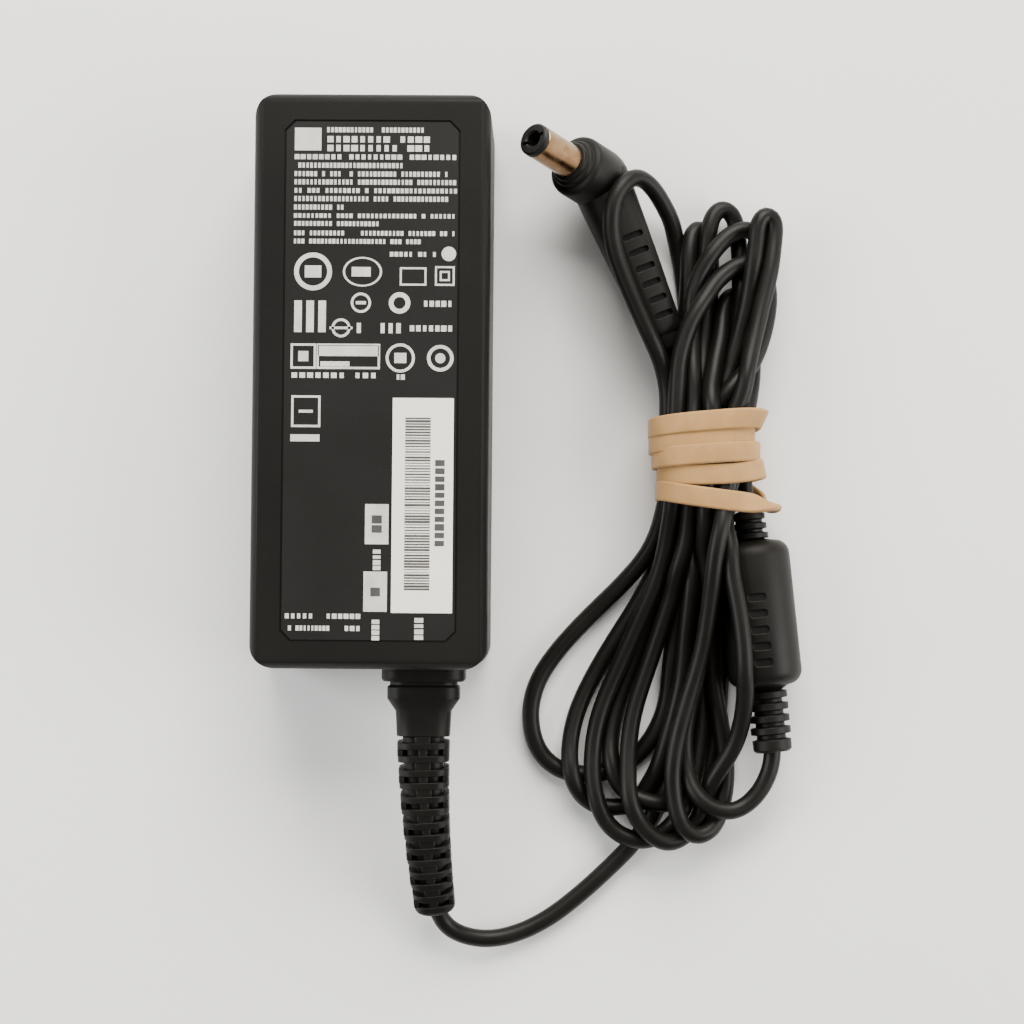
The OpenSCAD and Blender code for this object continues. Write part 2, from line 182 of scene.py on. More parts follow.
FINISHES: dict[str, Finish] = {
    "case_plastic": Finish(
        (0.0042, 0.0037, 0.003), (0.0068, 0.006, 0.005), (0.42, 0.54), 30.0, 0.22, 0.05, shine=0.15
    ),
    "label_film": Finish(
        (0.0085, 0.0079, 0.0071), (0.0112, 0.0105, 0.0096), (0.36, 0.46), 24.0, 0.4, 0.006, shine=0.22
    ),
    "white_sticker": Finish(
        (0.78, 0.74, 0.64), (0.86, 0.83, 0.74), (0.55, 0.7), 12.0, 0.3, 0.008, Grain.FIBRE
    ),
    "label_ink": Finish((0.44, 0.42, 0.38), (0.62, 0.60, 0.55), (0.55, 0.7), 3.0, 0.2, 0.003),
    "sticker_ink": Finish((0.03, 0.028, 0.025), (0.06, 0.055, 0.05), (0.5, 0.65), 3.0, 0.2, 0.003),
    "inlet_plastic": Finish(
        (0.005, 0.0047, 0.0042), (0.008, 0.0075, 0.007), (0.4, 0.55), 8.0, 0.3, 0.03, shine=0.2
    ),
    "bright_pins": Finish(
        (0.66, 0.66, 0.64), (0.78, 0.78, 0.77), (0.14, 0.26), 4.0, 0.3, 0.006, Grain.STREAK,
        (6.0, 1.0, 6.0), 1.0,
    ),
    "board": Finish((0.03, 0.14, 0.05), (0.05, 0.22, 0.08), (0.28, 0.42), 7.0, 0.5, 0.01, coat=0.3),
    "component_black": Finish((0.02, 0.02, 0.02), (0.035, 0.034, 0.033), (0.42, 0.6), 5.0, 0.3, 0.02),
    "component_blue": Finish((0.03, 0.12, 0.32), (0.05, 0.19, 0.45), (0.3, 0.45), 4.0, 0.6, 0.02),
    "component_yellow": Finish((0.55, 0.33, 0.03), (0.70, 0.47, 0.07), (0.3, 0.42), 5.0, 0.6, 0.01),
    "component_white": Finish((0.70, 0.69, 0.64), (0.83, 0.82, 0.78), (0.45, 0.6), 3.0, 0.3, 0.01),
    "ferrite": Finish((0.05, 0.05, 0.052), (0.09, 0.09, 0.094), (0.5, 0.7), 4.0, 0.25, 0.04),
    "winding": Finish(
        (0.42, 0.17, 0.05), (0.60, 0.29, 0.11), (0.22, 0.36), 2.0, 0.35, 0.05, Grain.STREAK,
        (1.0, 1.0, 5.0), 0.9,
    ),
    "capacitor_can": Finish((0.05, 0.07, 0.16), (0.09, 0.12, 0.24), (0.3, 0.45), 6.0, 0.5, 0.01, coat=0.4),
    "heatsink": Finish(
        (0.58, 0.59, 0.60), (0.72, 0.73, 0.74), (0.3, 0.45), 5.0, 0.3, 0.01, Grain.STREAK,
        (5.0, 1.0, 1.0), 1.0,
    ),
    "bobbin_plastic": Finish((0.60, 0.54, 0.38), (0.72, 0.66, 0.50), (0.45, 0.6), 5.0, 0.4, 0.02),
    "wire_insulation": Finish((0.32, 0.03, 0.02), (0.42, 0.05, 0.03), (0.35, 0.5), 3.0, 0.3, 0.01),
    "pad": Finish((0.52, 0.53, 0.55), (0.62, 0.63, 0.66), (0.6, 0.75), 4.0, 0.3, 0.03),
    "insulation": Finish((0.70, 0.65, 0.48), (0.80, 0.75, 0.58), (0.6, 0.75), 8.0, 0.3, 0.01, Grain.FIBRE),
    "cord_rubber": Finish(
        (0.0038, 0.0033, 0.0025), (0.0064, 0.0056, 0.0044), (0.36, 0.48), 6.0, 0.18, 0.014, shine=0.17
    ),
    "relief_rubber": Finish(
        (0.0042, 0.0036, 0.0028), (0.007, 0.0061, 0.0049), (0.40, 0.54), 7.0, 0.2, 0.025, shine=0.16
    ),
    "band_rubber": Finish(
        (0.31, 0.16, 0.045), (0.42, 0.235, 0.075), (0.62, 0.78), 3.5, 0.22, 0.03, Grain.SPARK,
        (1.0, 1.6, 1.0), sheen=0.1,
    ),
    "plug_metal": Finish(
        (0.17, 0.09, 0.042), (0.36, 0.225, 0.12), (0.16, 0.30), 1.6, 0.3, 0.006, Grain.STREAK,
        (4.0, 4.0, 1.0), 1.0,
    ),
    "tip_plastic": Finish(
        (0.005, 0.0046, 0.0042), (0.009, 0.0084, 0.0078), (0.4, 0.55), 3.0, 0.2, 0.02, shine=0.2
    ),
}


class Palette:
    """The materials, one for each finish, built when they are first asked for."""

    def __init__(self) -> None:
        """Starts with no materials."""
        self._made: dict[str, bpy.types.Material] = {}

    def __getitem__(self, name: str) -> bpy.types.Material:
        """Returns the material of that finish."""
        if name not in self._made:
            self._made[name] = FINISHES[name].build(name)
        return self._made[name]


# ---- drawing meshes ----


def rounded_outline(w: float, h: float, r: float, steps: int = 6) -> Outline:
    """Outline of a rectangle with round corners, anticlockwise.

    Args:
        w: full width.
        h: full height.
        r: corner radius.
        steps: pieces in each corner's arc.

    Returns:
        The outline's points, 4 * (steps + 1) of them.
    """
    r = min(r, w / 2 - 1e-4, h / 2 - 1e-4)
    points = []
    for quarter, (sx, sy) in enumerate(((1, 1), (-1, 1), (-1, -1), (1, -1))):
        for i in range(steps + 1):
            a = math.radians(90 * (quarter + i / steps))
            points.append((sx * (w / 2 - r) + r * math.cos(a), sy * (h / 2 - r) + r * math.sin(a)))
    return points


def circle_outline(r: float, steps: int = 40) -> Outline:
    """Points of a circle about the origin, anticlockwise."""
    angles = [2 * math.pi * i / steps for i in range(steps)]
    return [(r * math.cos(a), r * math.sin(a)) for a in angles]


def facing(origin: Vector, ahead: Vector, up: Vector = Vector((0, 0, 1)), roll: float = 0.0) -> Matrix:
    """Frame at origin whose Z looks ahead and whose Y is as near to up as it can be.

    Args:
        origin: where the frame stands.
        ahead: the direction of its Z.
        up: the direction that its Y leans to.
        roll: turn about its Z, in degrees.

    Returns:
        The frame as a 4x4 matrix.
    """
    z = ahead.normalized()
    x = up.cross(z).normalized()
    y = z.cross(x)
    turn = Matrix((x, y, z)).transposed().to_4x4()
    return Matrix.Translation(origin) @ turn @ Matrix.Rotation(math.radians(roll), 4, "Z")


class Draft:
    """A mesh that is drawn in millimetres and becomes an object in metres."""

    def __init__(self) -> None:
        """Starts with an empty mesh."""
        self.bm = bmesh.new()

    def ring(self, outline: Outline, place: Matrix, z: float = 0.0) -> list[bmesh.types.BMVert]:
        """Adds an outline's points in a frame and returns them."""
        return [self.bm.verts.new(place @ Vector((x, y, z))) for x, y in outline]

    def skin(self, rings: list[list[bmesh.types.BMVert]], closed: bool = False) -> None:
        """Joins rings of equal count by quads.

        Args:
            rings: the rings in order.
            closed: whether the last ring joins the first; if not, both ends get a cap.
        """
        count = len(rings[0])
        pairs = list(zip(rings, rings[1:] + rings[:1])) if closed else list(zip(rings, rings[1:]))
        for a, b in pairs:
            for i in range(count):
                j = (i + 1) % count
                self.bm.faces.new((a[i], a[j], b[j], b[i]))
        if not closed:
            self.bm.faces.new(list(reversed(rings[0])))
            self.bm.faces.new(rings[-1])

    def turned(self, profile: Outline, place: Matrix, steps: int = 40) -> None:
        """Adds a closed round solid from (z, r) pairs along the frame's Z."""
        self.skin([self.ring(circle_outline(r, steps), place, z) for z, r in profile])

    def tube(self, profile: Outline, place: Matrix, steps: int = 40) -> None:
        """Adds a hollow round solid: the (z, r) pairs go round the wall's section."""
        self.skin([self.ring(circle_outline(r, steps), place, z) for z, r in profile], closed=True)

    def prism(self, outline: Outline, start: Matrix, end: Matrix) -> None:
        """Adds a solid between an outline in two frames."""
        self.skin([self.ring(outline, start), self.ring(outline, end)])

    def block(self, low: Point, high: Point, place: Matrix = Matrix.Identity(4)) -> None:
        """Adds a box between two corners of a frame."""
        outline = [(high[0], high[1]), (low[0], high[1]), (low[0], low[1]), (high[0], low[1])]
        self.skin([self.ring(outline, place, low[2]), self.ring(outline, place, high[2])])

    def washer(self, centre: Point, outer: float, inner: float, thick: float, squash: float = 1.0) -> None:
        """Adds a flat ring lying at centre, squashed along Y."""
        place = Matrix.Translation(centre) @ Matrix.Diagonal((1, squash, 1, 1))
        self.tube([(0, inner), (0, outer), (thick, outer), (thick, inner)], place, 36)

    def mesh(self, other: bpy.types.Mesh, place: Matrix) -> None:
        """Adds a finished mesh, moved into a frame."""
        start = len(self.bm.verts)
        self.bm.from_mesh(other)
        self.bm.verts.ensure_lookup_table()
        bmesh.ops.transform(self.bm, matrix=place, verts=self.bm.verts[start:])

    def finish(
        self, name: str, material: bpy.types.Material, angle: float = 35.0, bevel: float = 0.0
    ) -> bpy.types.Object:
        """Makes the drawing an object.

        Args:
            name: the object's name.
            material: its material.
            angle: edges sharper than this many degrees stay sharp.
            bevel: width of the small rounding on sharp edges, or 0.

        Returns:
            The object, at the origin, in metres.
        """
        bmesh.ops.recalc_face_normals(self.bm, faces=self.bm.faces)
        bmesh.ops.scale(self.bm, vec=(MM, MM, MM), verts=self.bm.verts)
        mesh = bpy.data.meshes.new(name)
        self.bm.to_mesh(mesh)
        self.bm.free()
        mesh.materials.append(material)
        piece = bpy.data.objects.new(name, mesh)
        bpy.context.scene.collection.objects.link(piece)
        shade(piece, angle)
        if bevel:
            soften(piece, bevel)
        return piece


def shade(piece: bpy.types.Object, angle: float) -> None:
    """Shades a piece smooth, apart from edges sharper than angle degrees."""
    piece.data.shade_smooth()
    piece.data.set_sharp_from_angle(angle=math.radians(angle))


def soften(piece: bpy.types.Object, width: float) -> None:
    """Adds a small rounding of width millimetres to a piece's sharp edges."""
    bevel = piece.modifiers.new("soft edges", "BEVEL")
    bevel.width = width * MM
    bevel.segments = 2
    bevel.limit_method = "ANGLE"
    bevel.angle_limit = math.radians(32)
    bevel.harden_normals = False


def settle_modifiers(piece: bpy.types.Object) -> None:
    """Turns what a piece's modifiers show into its own mesh."""
    graph = bpy.context.evaluated_depsgraph_get()
    mesh = bpy.data.meshes.new_from_object(piece.evaluated_get(graph), depsgraph=graph)
    piece.modifiers.clear()
    piece.data = mesh


def carve(piece: bpy.types.Object, cutter: Draft, angle: float = 35.0) -> None:
    """Takes a drawing's solids out of a piece.

    Args:
        piece: what is cut.
        cutter: the solids to take away.
        angle: edges sharper than this many degrees stay sharp.
    """
    tool = cutter.finish("cutter", piece.data.materials[0])
    cut = piece.modifiers.new("cut", "BOOLEAN")
    cut.operation = "DIFFERENCE"
    cut.solver = "EXACT"
    cut.object = tool
    settle_modifiers(piece)
    bpy.data.objects.remove(tool)
    shade(piece, angle)


def register(piece: bpy.types.Object, slot: str, *nodes: str) -> bpy.types.Object:
    """Puts a finished piece on the part and reports it.

    Args:
        piece: the finished piece.
        slot: the record's material slot.
        nodes: the CAD nodes that it stands for.

    Returns:
        The same piece.
    """
    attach(piece, "root")
    if nodes:
        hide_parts(*nodes)
    log.info("%s: slot %s, stands for %s", piece.name, slot, ", ".join(nodes) or "nothing")
    return piece


class MarkRow:
    """A Geometry Nodes tree for a row of small blocks of uneven length, as in printing or bars."""

    SIZES = ("Length", "Height", "Thickness", "Shortest", "Longest", "Kept")

    def __init__(self) -> None:
        """Builds the tree."""
        tree = bpy.data.node_groups.new("Mark row", "GeometryNodeTree")
        self.tree = tree
        self.sockets: dict[str, str] = {}
        for name in self.SIZES:
            self._input(name, "NodeSocketFloat")
        self._input("Count", "NodeSocketInt")
        self._input("Seed", "NodeSocketInt")
        self._input("Finish", "NodeSocketMaterial")
        tree.interface.new_socket(name="Geometry", in_out="OUTPUT", socket_type="NodeSocketGeometry")
        given = tree.nodes.new("NodeGroupInput")
        pitch = self._math("DIVIDE", given.outputs["Length"], given.outputs["Count"])
        half = self._math("MULTIPLY", pitch, 0.5)
        line = tree.nodes.new("GeometryNodeMeshLine")
        tree.links.new(given.outputs["Count"], line.inputs["Count"])
        tree.links.new(self._vector(half), line.inputs["Start Location"])
        tree.links.new(self._vector(pitch), line.inputs["Offset"])
        chance = tree.nodes.new("FunctionNodeRandomValue")
        chance.data_type = "FLOAT"
        low, high = (s for s in chance.inputs if s.type == "VALUE" and s.name in ("Min", "Max"))
        tree.links.new(given.outputs["Shortest"], low)
        tree.links.new(given.outputs["Longest"], high)
        tree.links.new(given.outputs["Seed"], chance.inputs["Seed"])
        share = next(s for s in chance.outputs if s.type == "VALUE")
        width = self._math("MULTIPLY", pitch, share)
        cube = tree.nodes.new("GeometryNodeMeshCube")
        cube.inputs["Size"].default_value = (1, 1, 1)
        spread = tree.nodes.new("GeometryNodeInstanceOnPoints")
        kept = tree.nodes.new("FunctionNodeRandomValue")
        kept.data_type = "BOOLEAN"
        tree.links.new(given.outputs["Kept"], next(s for s in kept.inputs if s.name == "Probability"))
        tree.links.new(given.outputs["Seed"], kept.inputs["Seed"])
        tree.links.new(next(s for s in kept.outputs if s.type == "BOOLEAN"), spread.inputs["Selection"])
        tree.links.new(line.outputs["Mesh"], spread.inputs["Points"])
        tree.links.new(cube.outputs["Mesh"], spread.inputs["Instance"])
        size = self._vector(width, given.outputs["Height"], given.outputs["Thickness"])
        tree.links.new(size, spread.inputs["Scale"])
        real = tree.nodes.new("GeometryNodeRealizeInstances")
        paint = tree.nodes.new("GeometryNodeSetMaterial")
        out = tree.nodes.new("NodeGroupOutput")
        tree.links.new(spread.outputs["Instances"], real.inputs["Geometry"])
        tree.links.new(real.outputs["Geometry"], paint.inputs["Geometry"])
        tree.links.new(given.outputs["Finish"], paint.inputs["Material"])
        tree.links.new(paint.outputs["Geometry"], out.inputs["Geometry"])

    def _input(self, name: str, kind: str) -> None:
        """Adds a named input and keeps its identifier."""
        socket = self.tree.interface.new_socket(name=name, in_out="INPUT", socket_type=kind)
        self.sockets[name] = socket.identifier

    def _math(
        self, what: str, a: bpy.types.NodeSocket, b: bpy.types.NodeSocket | float
    ) -> bpy.types.NodeSocket:
        """Adds a calculation with a socket and a socket or number, and returns its result."""
        node = self.tree.nodes.new("ShaderNodeMath")
        node.operation = what
        self.tree.links.new(a, node.inputs[0])
        if isinstance(b, float):
            node.inputs[1].default_value = b
        else:
            self.tree.links.new(b, node.inputs[1])
        return node.outputs[0]

    def _vector(self, *parts: bpy.types.NodeSocket) -> bpy.types.NodeSocket:
        """Adds a vector of up to three numbers and returns it."""
        node = self.tree.nodes.new("ShaderNodeCombineXYZ")
        for i, part in enumerate(parts):
            self.tree.links.new(part, node.inputs[i])
        return node.outputs[0]

    def draw(
        self, length: float, height: float, thick: float, count: int, fill: tuple[float, float], seed: int,
        material: bpy.types.Material, kept: float = 1.0,
    ) -> bpy.types.Mesh:
        """Runs the tree once.

        Args:
            length: length of the row.
            height: height of each block.
            thick: thickness of each block.
            count: number of blocks.
            fill: shortest and longest block, as shares of the pitch.
            seed: picks the row's own lengths.
            material: what the blocks are made of.
            kept: share of the blocks that stay; the rest are the gaps between words.

        Returns:
            The row as a plain mesh that starts at the origin and runs along X.
        """
        holder = bpy.data.objects.new("row", bpy.data.meshes.new("row"))
        bpy.context.scene.collection.objects.link(holder)
        rows = holder.modifiers.new("marks", "NODES")
        rows.node_group = self.tree
        values = dict(zip(self.SIZES, (length, height, thick, *fill, kept)))
        values.update({"Count": count, "Seed": seed, "Finish": material})
        for name, value in values.items():
            rows[self.sockets[name]] = value
        graph = bpy.context.evaluated_depsgraph_get()
        mesh = bpy.data.meshes.new_from_object(holder.evaluated_get(graph), depsgraph=graph)
        bpy.data.objects.remove(holder)
        return mesh


# ---- the studio ----


@dataclass(frozen=True)
class Softbox:
    """A square light that looks at a place. Its places and size are in metres.

    Args:
        name: its name.
        at: its place.
        to: the place that it looks at.
        size: its side.
        power: its power in watts.
        colour: its colour.
    """

    name: str
    at: Point
    to: Point
    size: float
    power: float
    colour: Colour

    def build(self) -> None:
        """Puts the light in the scene."""
        data = bpy.data.lights.new(self.name, "AREA")
        data.shape = "SQUARE"
        data.size = self.size
        data.energy = self.power
        data.color = self.colour
        lamp = bpy.data.objects.new(self.name, data)
        lamp.location = self.at
        lamp.rotation_euler = (Vector(self.to) - Vector(self.at)).to_track_quat("-Z", "Y").to_euler()
        bpy.context.scene.collection.objects.link(lamp)


@dataclass(frozen=True)
class Studio:
    """Floor, light and camera.

    Args:
        camera_at: the camera's place.
        lens: focal length on a 36 mm sensor.
        lean_x: how far the view leans to the side.
        lean_y: how far the view leans along the case.
        roll: turn of the picture, in degrees.
        floor_half: half of the floor's side.
        floor_z: the floor's top, just under the part.
        softboxes: the lights.
        air: strength of the light from all round.
    """

    camera_at: Point = (28.56, -35.95, 433.7)
    lens: float = 91.4
    lean_x: float = 0.837
    lean_y: float = -2.158
    roll: float = 0.43
    floor_half: float = 3000.0
    floor_z: float = -0.02
    softboxes: tuple[Softbox, ...] = (
        Softbox("main softbox", (0.12, 0.80, 0.62), (0.03, -0.01, 0.0), 0.8, 26.0, (1.0, 0.965, 0.91)),
        Softbox("left softbox", (-0.85, 0.05, 0.50), (0.03, -0.02, 0.0), 0.7, 13.0, (0.98, 0.985, 1.0)),
        Softbox("right softbox", (0.95, -0.10, 0.50), (0.03, -0.02, 0.0), 0.7, 13.0, (1.0, 0.98, 0.95)),
    )
    air: float = 0.35

    def build(self) -> None:
        """Puts the studio round the part."""
        self._camera()
        for softbox in self.softboxes:
            softbox.build()
        world = bpy.data.worlds.new("studio")
        world.use_nodes = True
        world.node_tree.nodes["Background"].inputs["Color"].default_value = (1.0, 0.985, 0.96, 1)
        world.node_tree.nodes["Background"].inputs["Strength"].default_value = self.air
        bpy.context.scene.world = world
        floor = Draft()
        side = self.floor_half
        floor.block((-side, -side, self.floor_z - 6), (side, side, self.floor_z))
        paper = Finish((0.86, 0.855, 0.84), (0.90, 0.895, 0.88), (0.75, 0.85), 60.0, 0.8, 0.004, Grain.FIBRE)
        floor.finish("floor", paper.build("floor_paper"))
        log.info("studio ready")

    def _camera(self) -> None:
        """Adds the camera."""
        scene = bpy.context.scene
        data = bpy.data.cameras.new("camera")
        data.lens = self.lens
        data.sensor_width = 36
        data.clip_start = 0.01
        camera = bpy.data.objects.new("camera", data)
        lean_x, lean_y = math.radians(self.lean_x), math.radians(self.lean_y)
        down = Vector((math.tan(lean_x), math.tan(lean_y), -1)).normalized()
        roll = math.radians(self.roll)
        ahead = Vector((math.sin(roll), math.cos(roll), 0))
        ahead = (ahead + down * -ahead.dot(down)).normalized()
        side = ahead.cross(-down)
        axes = Matrix((side, ahead, -down)).to_4x4()
        camera.matrix_world = Matrix.Translation(Vector(self.camera_at) * MM) @ axes.transposed().inverted()
        scene.collection.objects.link(camera)
        scene.camera = camera


# ---- the output cord ----


@dataclass(frozen=True)
class Leg:
    """A straight run of the cord through the band.

    Args:
        top_x: X at the band's edge on the plug's side.
        low_x: X at the band's other edge.
        z: height above the surface.
    """

    top_x: float
    low_x: float
    z: float


@dataclass(frozen=True)
class Fold:
    """A loop of the cord outside the band.

    Args:
        leg: the run through the band that leads into it.
        upper: whether it lies on the plug's side of the band.
        height: height before it settles, for points that give none.
        way: the loop's points in order.
    """

    leg: Leg
    upper: bool
    height: float
    way: tuple[tuple[float, ...], ...]


@dataclass(frozen=True)
class StrainTail:
    """The ringed tail of the strain relief, which droops from the case to the surface.

    Args:
        at: where the relief leaves the case.
        root: distance from there to the first ring.
        pitch: distance between rings.
        rings: number of rings.
        droop: how far each ring turns down, in degrees.
        drift: how far each ring turns aside, in degrees.
    """

    at: Point = (8.3, -45.5, 13.0)
    root: float = 10.8
    pitch: float = 4.15
    rings: int = 7
    droop: float = 3.45
    drift: float = 0.94

    def points(self) -> list[Vector]:
        """Centres of the rings, from the root to the end."""
        spots = [Vector(self.at) + Vector((0, -self.root, 0))]
        for k in range(1, self.rings + 1):
            droop, drift = math.radians(self.droop * k), math.radians(self.drift * k)
            level = math.cos(droop)
            step = Vector((math.sin(drift) * level, -math.cos(drift) * level, -math.sin(droop)))
            spots.append(spots[-1] + step * self.pitch)
        return spots


@dataclass(frozen=True)
class FerriteLine:
    """The straight line that the ferrite and its reliefs lie on.

    Args:
        at: middle of the housing.
        turn: the line's direction from X, in degrees.
        half: half of the housing's length.
        upper: length of the relief on the band's side.
        lower: length of the relief on the loops' side.
    """

    at: Point = (62.75, -36.3, 6.3)
    turn: float = -83.7
    half: float = 11.9
    upper: float = 4.9
    lower: float = 10.8

    def along(self) -> Vector:
        """Direction from the band to the loops."""
        turn = math.radians(self.turn)
        return Vector((math.cos(turn), math.sin(turn), 0))

    def ends(self) -> tuple[Vector, Vector]:
        """The lower relief's end and the upper relief's end."""
        middle, along = Vector(self.at), self.along()
        return middle + along * (self.half + self.lower), middle - along * (self.half + self.upper)


@dataclass(frozen=True)
class PlugLine:
    """Where the plug's barrel, head and neck lie.

    Args:
        at: the barrel's base.
        lean: how far the barrel leans from upright, in degrees.
        turn: the direction that it leans to, from X, in degrees.
        neck_start: where the neck leaves the head.
        neck_end: where the cord leaves the neck.
    """

    at: Point = (31.0, 37.0, 13.5)
    lean: float = 40.5
    turn: float = 158.3
    neck_start: Point = (36.1, 35.1, 7.2)
    neck_end: Point = (47.0, 9.8, 6.2)

    def barrel_frame(self) -> Matrix:
        """Frame at the barrel's base whose Z is the barrel's axis."""
        turn = Matrix.Rotation(math.radians(self.turn), 4, "Z")
        lean = Matrix.Rotation(math.radians(self.lean), 4, "Y")
        return Matrix.Translation(Vector(self.at)) @ (turn @ lean)

    def neck(self) -> Vector:
        """The neck's run from the head to the cord."""
        return Vector(self.neck_end) - Vector(self.neck_start)


LEAD_WAY = (
    (10.11, -84.23, 6.1), (11.1, -87.0, 4.4), (12.6, -88.8, 2.8), (15.4, -90.0, 1.7), (19, -90.4, 1.5),
    (24, -89.2, 1.5), (29, -86.6, 1.5), (34, -82.7, 1.5), (38.5, -78.6, 1.5), (41.6, -75.5, 1.5),
    (45.5, -70.5, 1.5), (48.5, -63, 1.5), (50, -53, 1.5), (51, -42, 1.5), (51.8, -32, 1.5), (52.4, -24, 2.2),
)
FOLDS = (
    Fold(Leg(51.0, 52.8, 3.0), True, 12.0, (
        (50.6, 6, 5), (50.6, 14, 5), (50.2, 21, 5), (49.3, 26.2, 6.2), (48.1, 28.8, 7.4),
        (46.6, 31, 9.2), (45, 32.9, 11), (43, 34.6, 13), (40.8, 34.9, 14.5), (38.8, 33, 15),
        (37.8, 30.4, 15), (37.6, 27.6, 15), (38, 24.2, 14.5), (39.1, 20.8, 14), (40.3, 18.1, 13.5),
        (42, 14.6, 12.8), (43.7, 11.2, 12), (45.5, 7.8, 11), (47, 4.4, 10), (47.9, 1, 9))),
    Fold(Leg(48.2, 47.4, 7.5), False, 4.0, (
        (45, -26), (41, -31), (35, -37), (30, -42.5), (26.5, -48), (25.5, -54), (27.5, -60), (32, -62.8),
        (37, -62.8), (42, -61), (46, -57), (49, -51), (50, -43), (51, -35), (52.5, -28.5), (54, -23))),
    Fold(Leg(55.0, 54.6, 3.0), True, 6.5, (
        (54.5, 6), (54.5, 16), (54.2, 23), (53.7, 26.3), (52.3, 28.0), (51.0, 26.3), (50.6, 22),
        (50.4, 17), (49.8, 13), (48.7, 7), (48, 2))),
    Fold(Leg(47.9, 47.9, 3.2), False, 6.5, (
        (46, -28), (44, -33.5), (40.5, -39), (36.5, -45.5), (33, -53), (32, -60), (33, -64.5),
        (36, -67.7), (40, -68.3), (44, -67.3), (47, -62.5), (49, -55.5), (50.6, -48), (51.2, -39),
        (52, -32), (53, -25))),
    Fold(Leg(53.0, 53.6, 5.6), True, 9.0, (
        (53, 6), (53, 14), (53.3, 21), (53.6, 26), (54.4, 29.2), (56.2, 30.7), (58.0, 29.0), (58.8, 25),
        (59.1, 20), (59, 14), (58.6, 6))),
    Fold(Leg(58.6, 57.6, 3.0), False, 9.0, (
        (57, -26), (56.5, -36), (56, -48), (55, -58), (52, -65.3), (48.5, -67.3), (44.4, -67),
        (41.5, -66), (39.3, -63.5), (38.2, -58), (39, -52.5), (41, -46.5), (44, -38), (47, -30),
        (49.4, -24))),
    Fold(Leg(55.4, 50.2, 8.2), True, 14.0, (
        (58.5, 0.5, 12), (61.5, 5, 12.5), (63.4, 12), (63.4, 17.5), (61.5, 20.8), (58.5, 20.2),
        (55.5, 18.2), (53, 15), (51, 11.5), (49.5, 7), (48.7, 2))),
    Fold(Leg(48.6, 48.4, 10.8), False, 11.5, (
        (47.5, -25), (46, -31), (43, -38), (40, -45), (37, -52.5), (35.7, -60), (36.2, -66), (38.5, -71),
        (43, -73.3), (48, -72), (52, -66), (53.5, -58), (53.5, -48), (53, -38), (53, -28))),
    Fold(Leg(58.4, 53.2, 8.2), True, 11.5, (
        (60, 4), (61.5, 12), (62.5, 20), (62.3, 25.3), (59.8, 26.8), (57.3, 25.5), (55.3, 23.7),
        (53.7, 21.2), (52.2, 18.3), (51.3, 14), (51.5, 8), (52, 2))),
    Fold(Leg(52.2, 51.4, 10.8), False, 15.0, (
        (51, -25), (49.5, -31), (47, -38), (44.5, -45), (42, -52.5), (41, -60), (41.3, -66.5),
        (43.5, -71), (47, -73.2), (50.3, -71), (52.5, -65.5, 15.5), (55, -61.2, 17), (57.7, -57.5, 18),
        (59.5, -52, 18), (60, -45, 18), (59, -36.5, 17), (57.5, -30), (56.7, -24.5, 12))),
    Fold(Leg(61.2, 56.4, 8.2), True, 9.0, (
        (61.8, 5), (61.3, 12), (59.8, 16.8), (57.8, 16), (56.8, 10), (56, 3))),
    Fold(Leg(55.8, 54.6, 11.0), False, 16.0, (
        (54.6, -24, 13), (54.8, -32, 14), (54.5, -42, 15), (54.9, -48, 15.5), (56, -54, 15.5),
        (56.9, -61, 15), (56.2, -67, 15.5), (54, -71, 16), (51.5, -72.2, 17), (49.3, -69.3, 18),
        (48.4, -64, 19), (48.8, -57.5, 21), (50.5, -50.5, 22), (53, -42, 22), (54.6, -34, 19),
        (56.3, -26, 14))),
    Fold(Leg(59.2, 57.8, 11.0), True, 15.0, (
        (60.2, 4, 16), (61.5, 11, 18.5), (63, 18.5, 20.5), (63.5, 24, 21), (63.6, 26.6, 20.7),
        (63.2, 28.3, 19.4), (62.6, 28.2, 17.4), (62.3, 26.6, 16.4), (61.9, 23.5, 16.7), (61.4, 19.5, 17),
        (60.8, 14, 14.5), (59.8, 8, 11), (58.8, 2, 8))),
    Fold(Leg(58.0, 57.2, 5.8), False, 18.5, (
        (57, -25, 12), (55.8, -32, 17), (53.5, -40, 19), (51.4, -48, 19), (50, -54.5), (50, -60),
        (51.5, -64.5), (54.5, -67.3), (57.3, -67.9, 17), (60.3, -67.2, 12), (62.9, -65.2, 8),
        (64.6, -62.2, 6.4))),
)
PLUG_LEG = Leg(60.4, 60.9, 6.0)
PLUG_WAY = (
    (60, -1, 3.4), (58.6, 0.6, 2.2), (56.4, 1.6, 1.7), (53.9, 2.2, 1.7), (51.6, 3.4, 2.3), (49.8, 5.1, 3.6),
    (48.3, 7.2, 5.1),
)


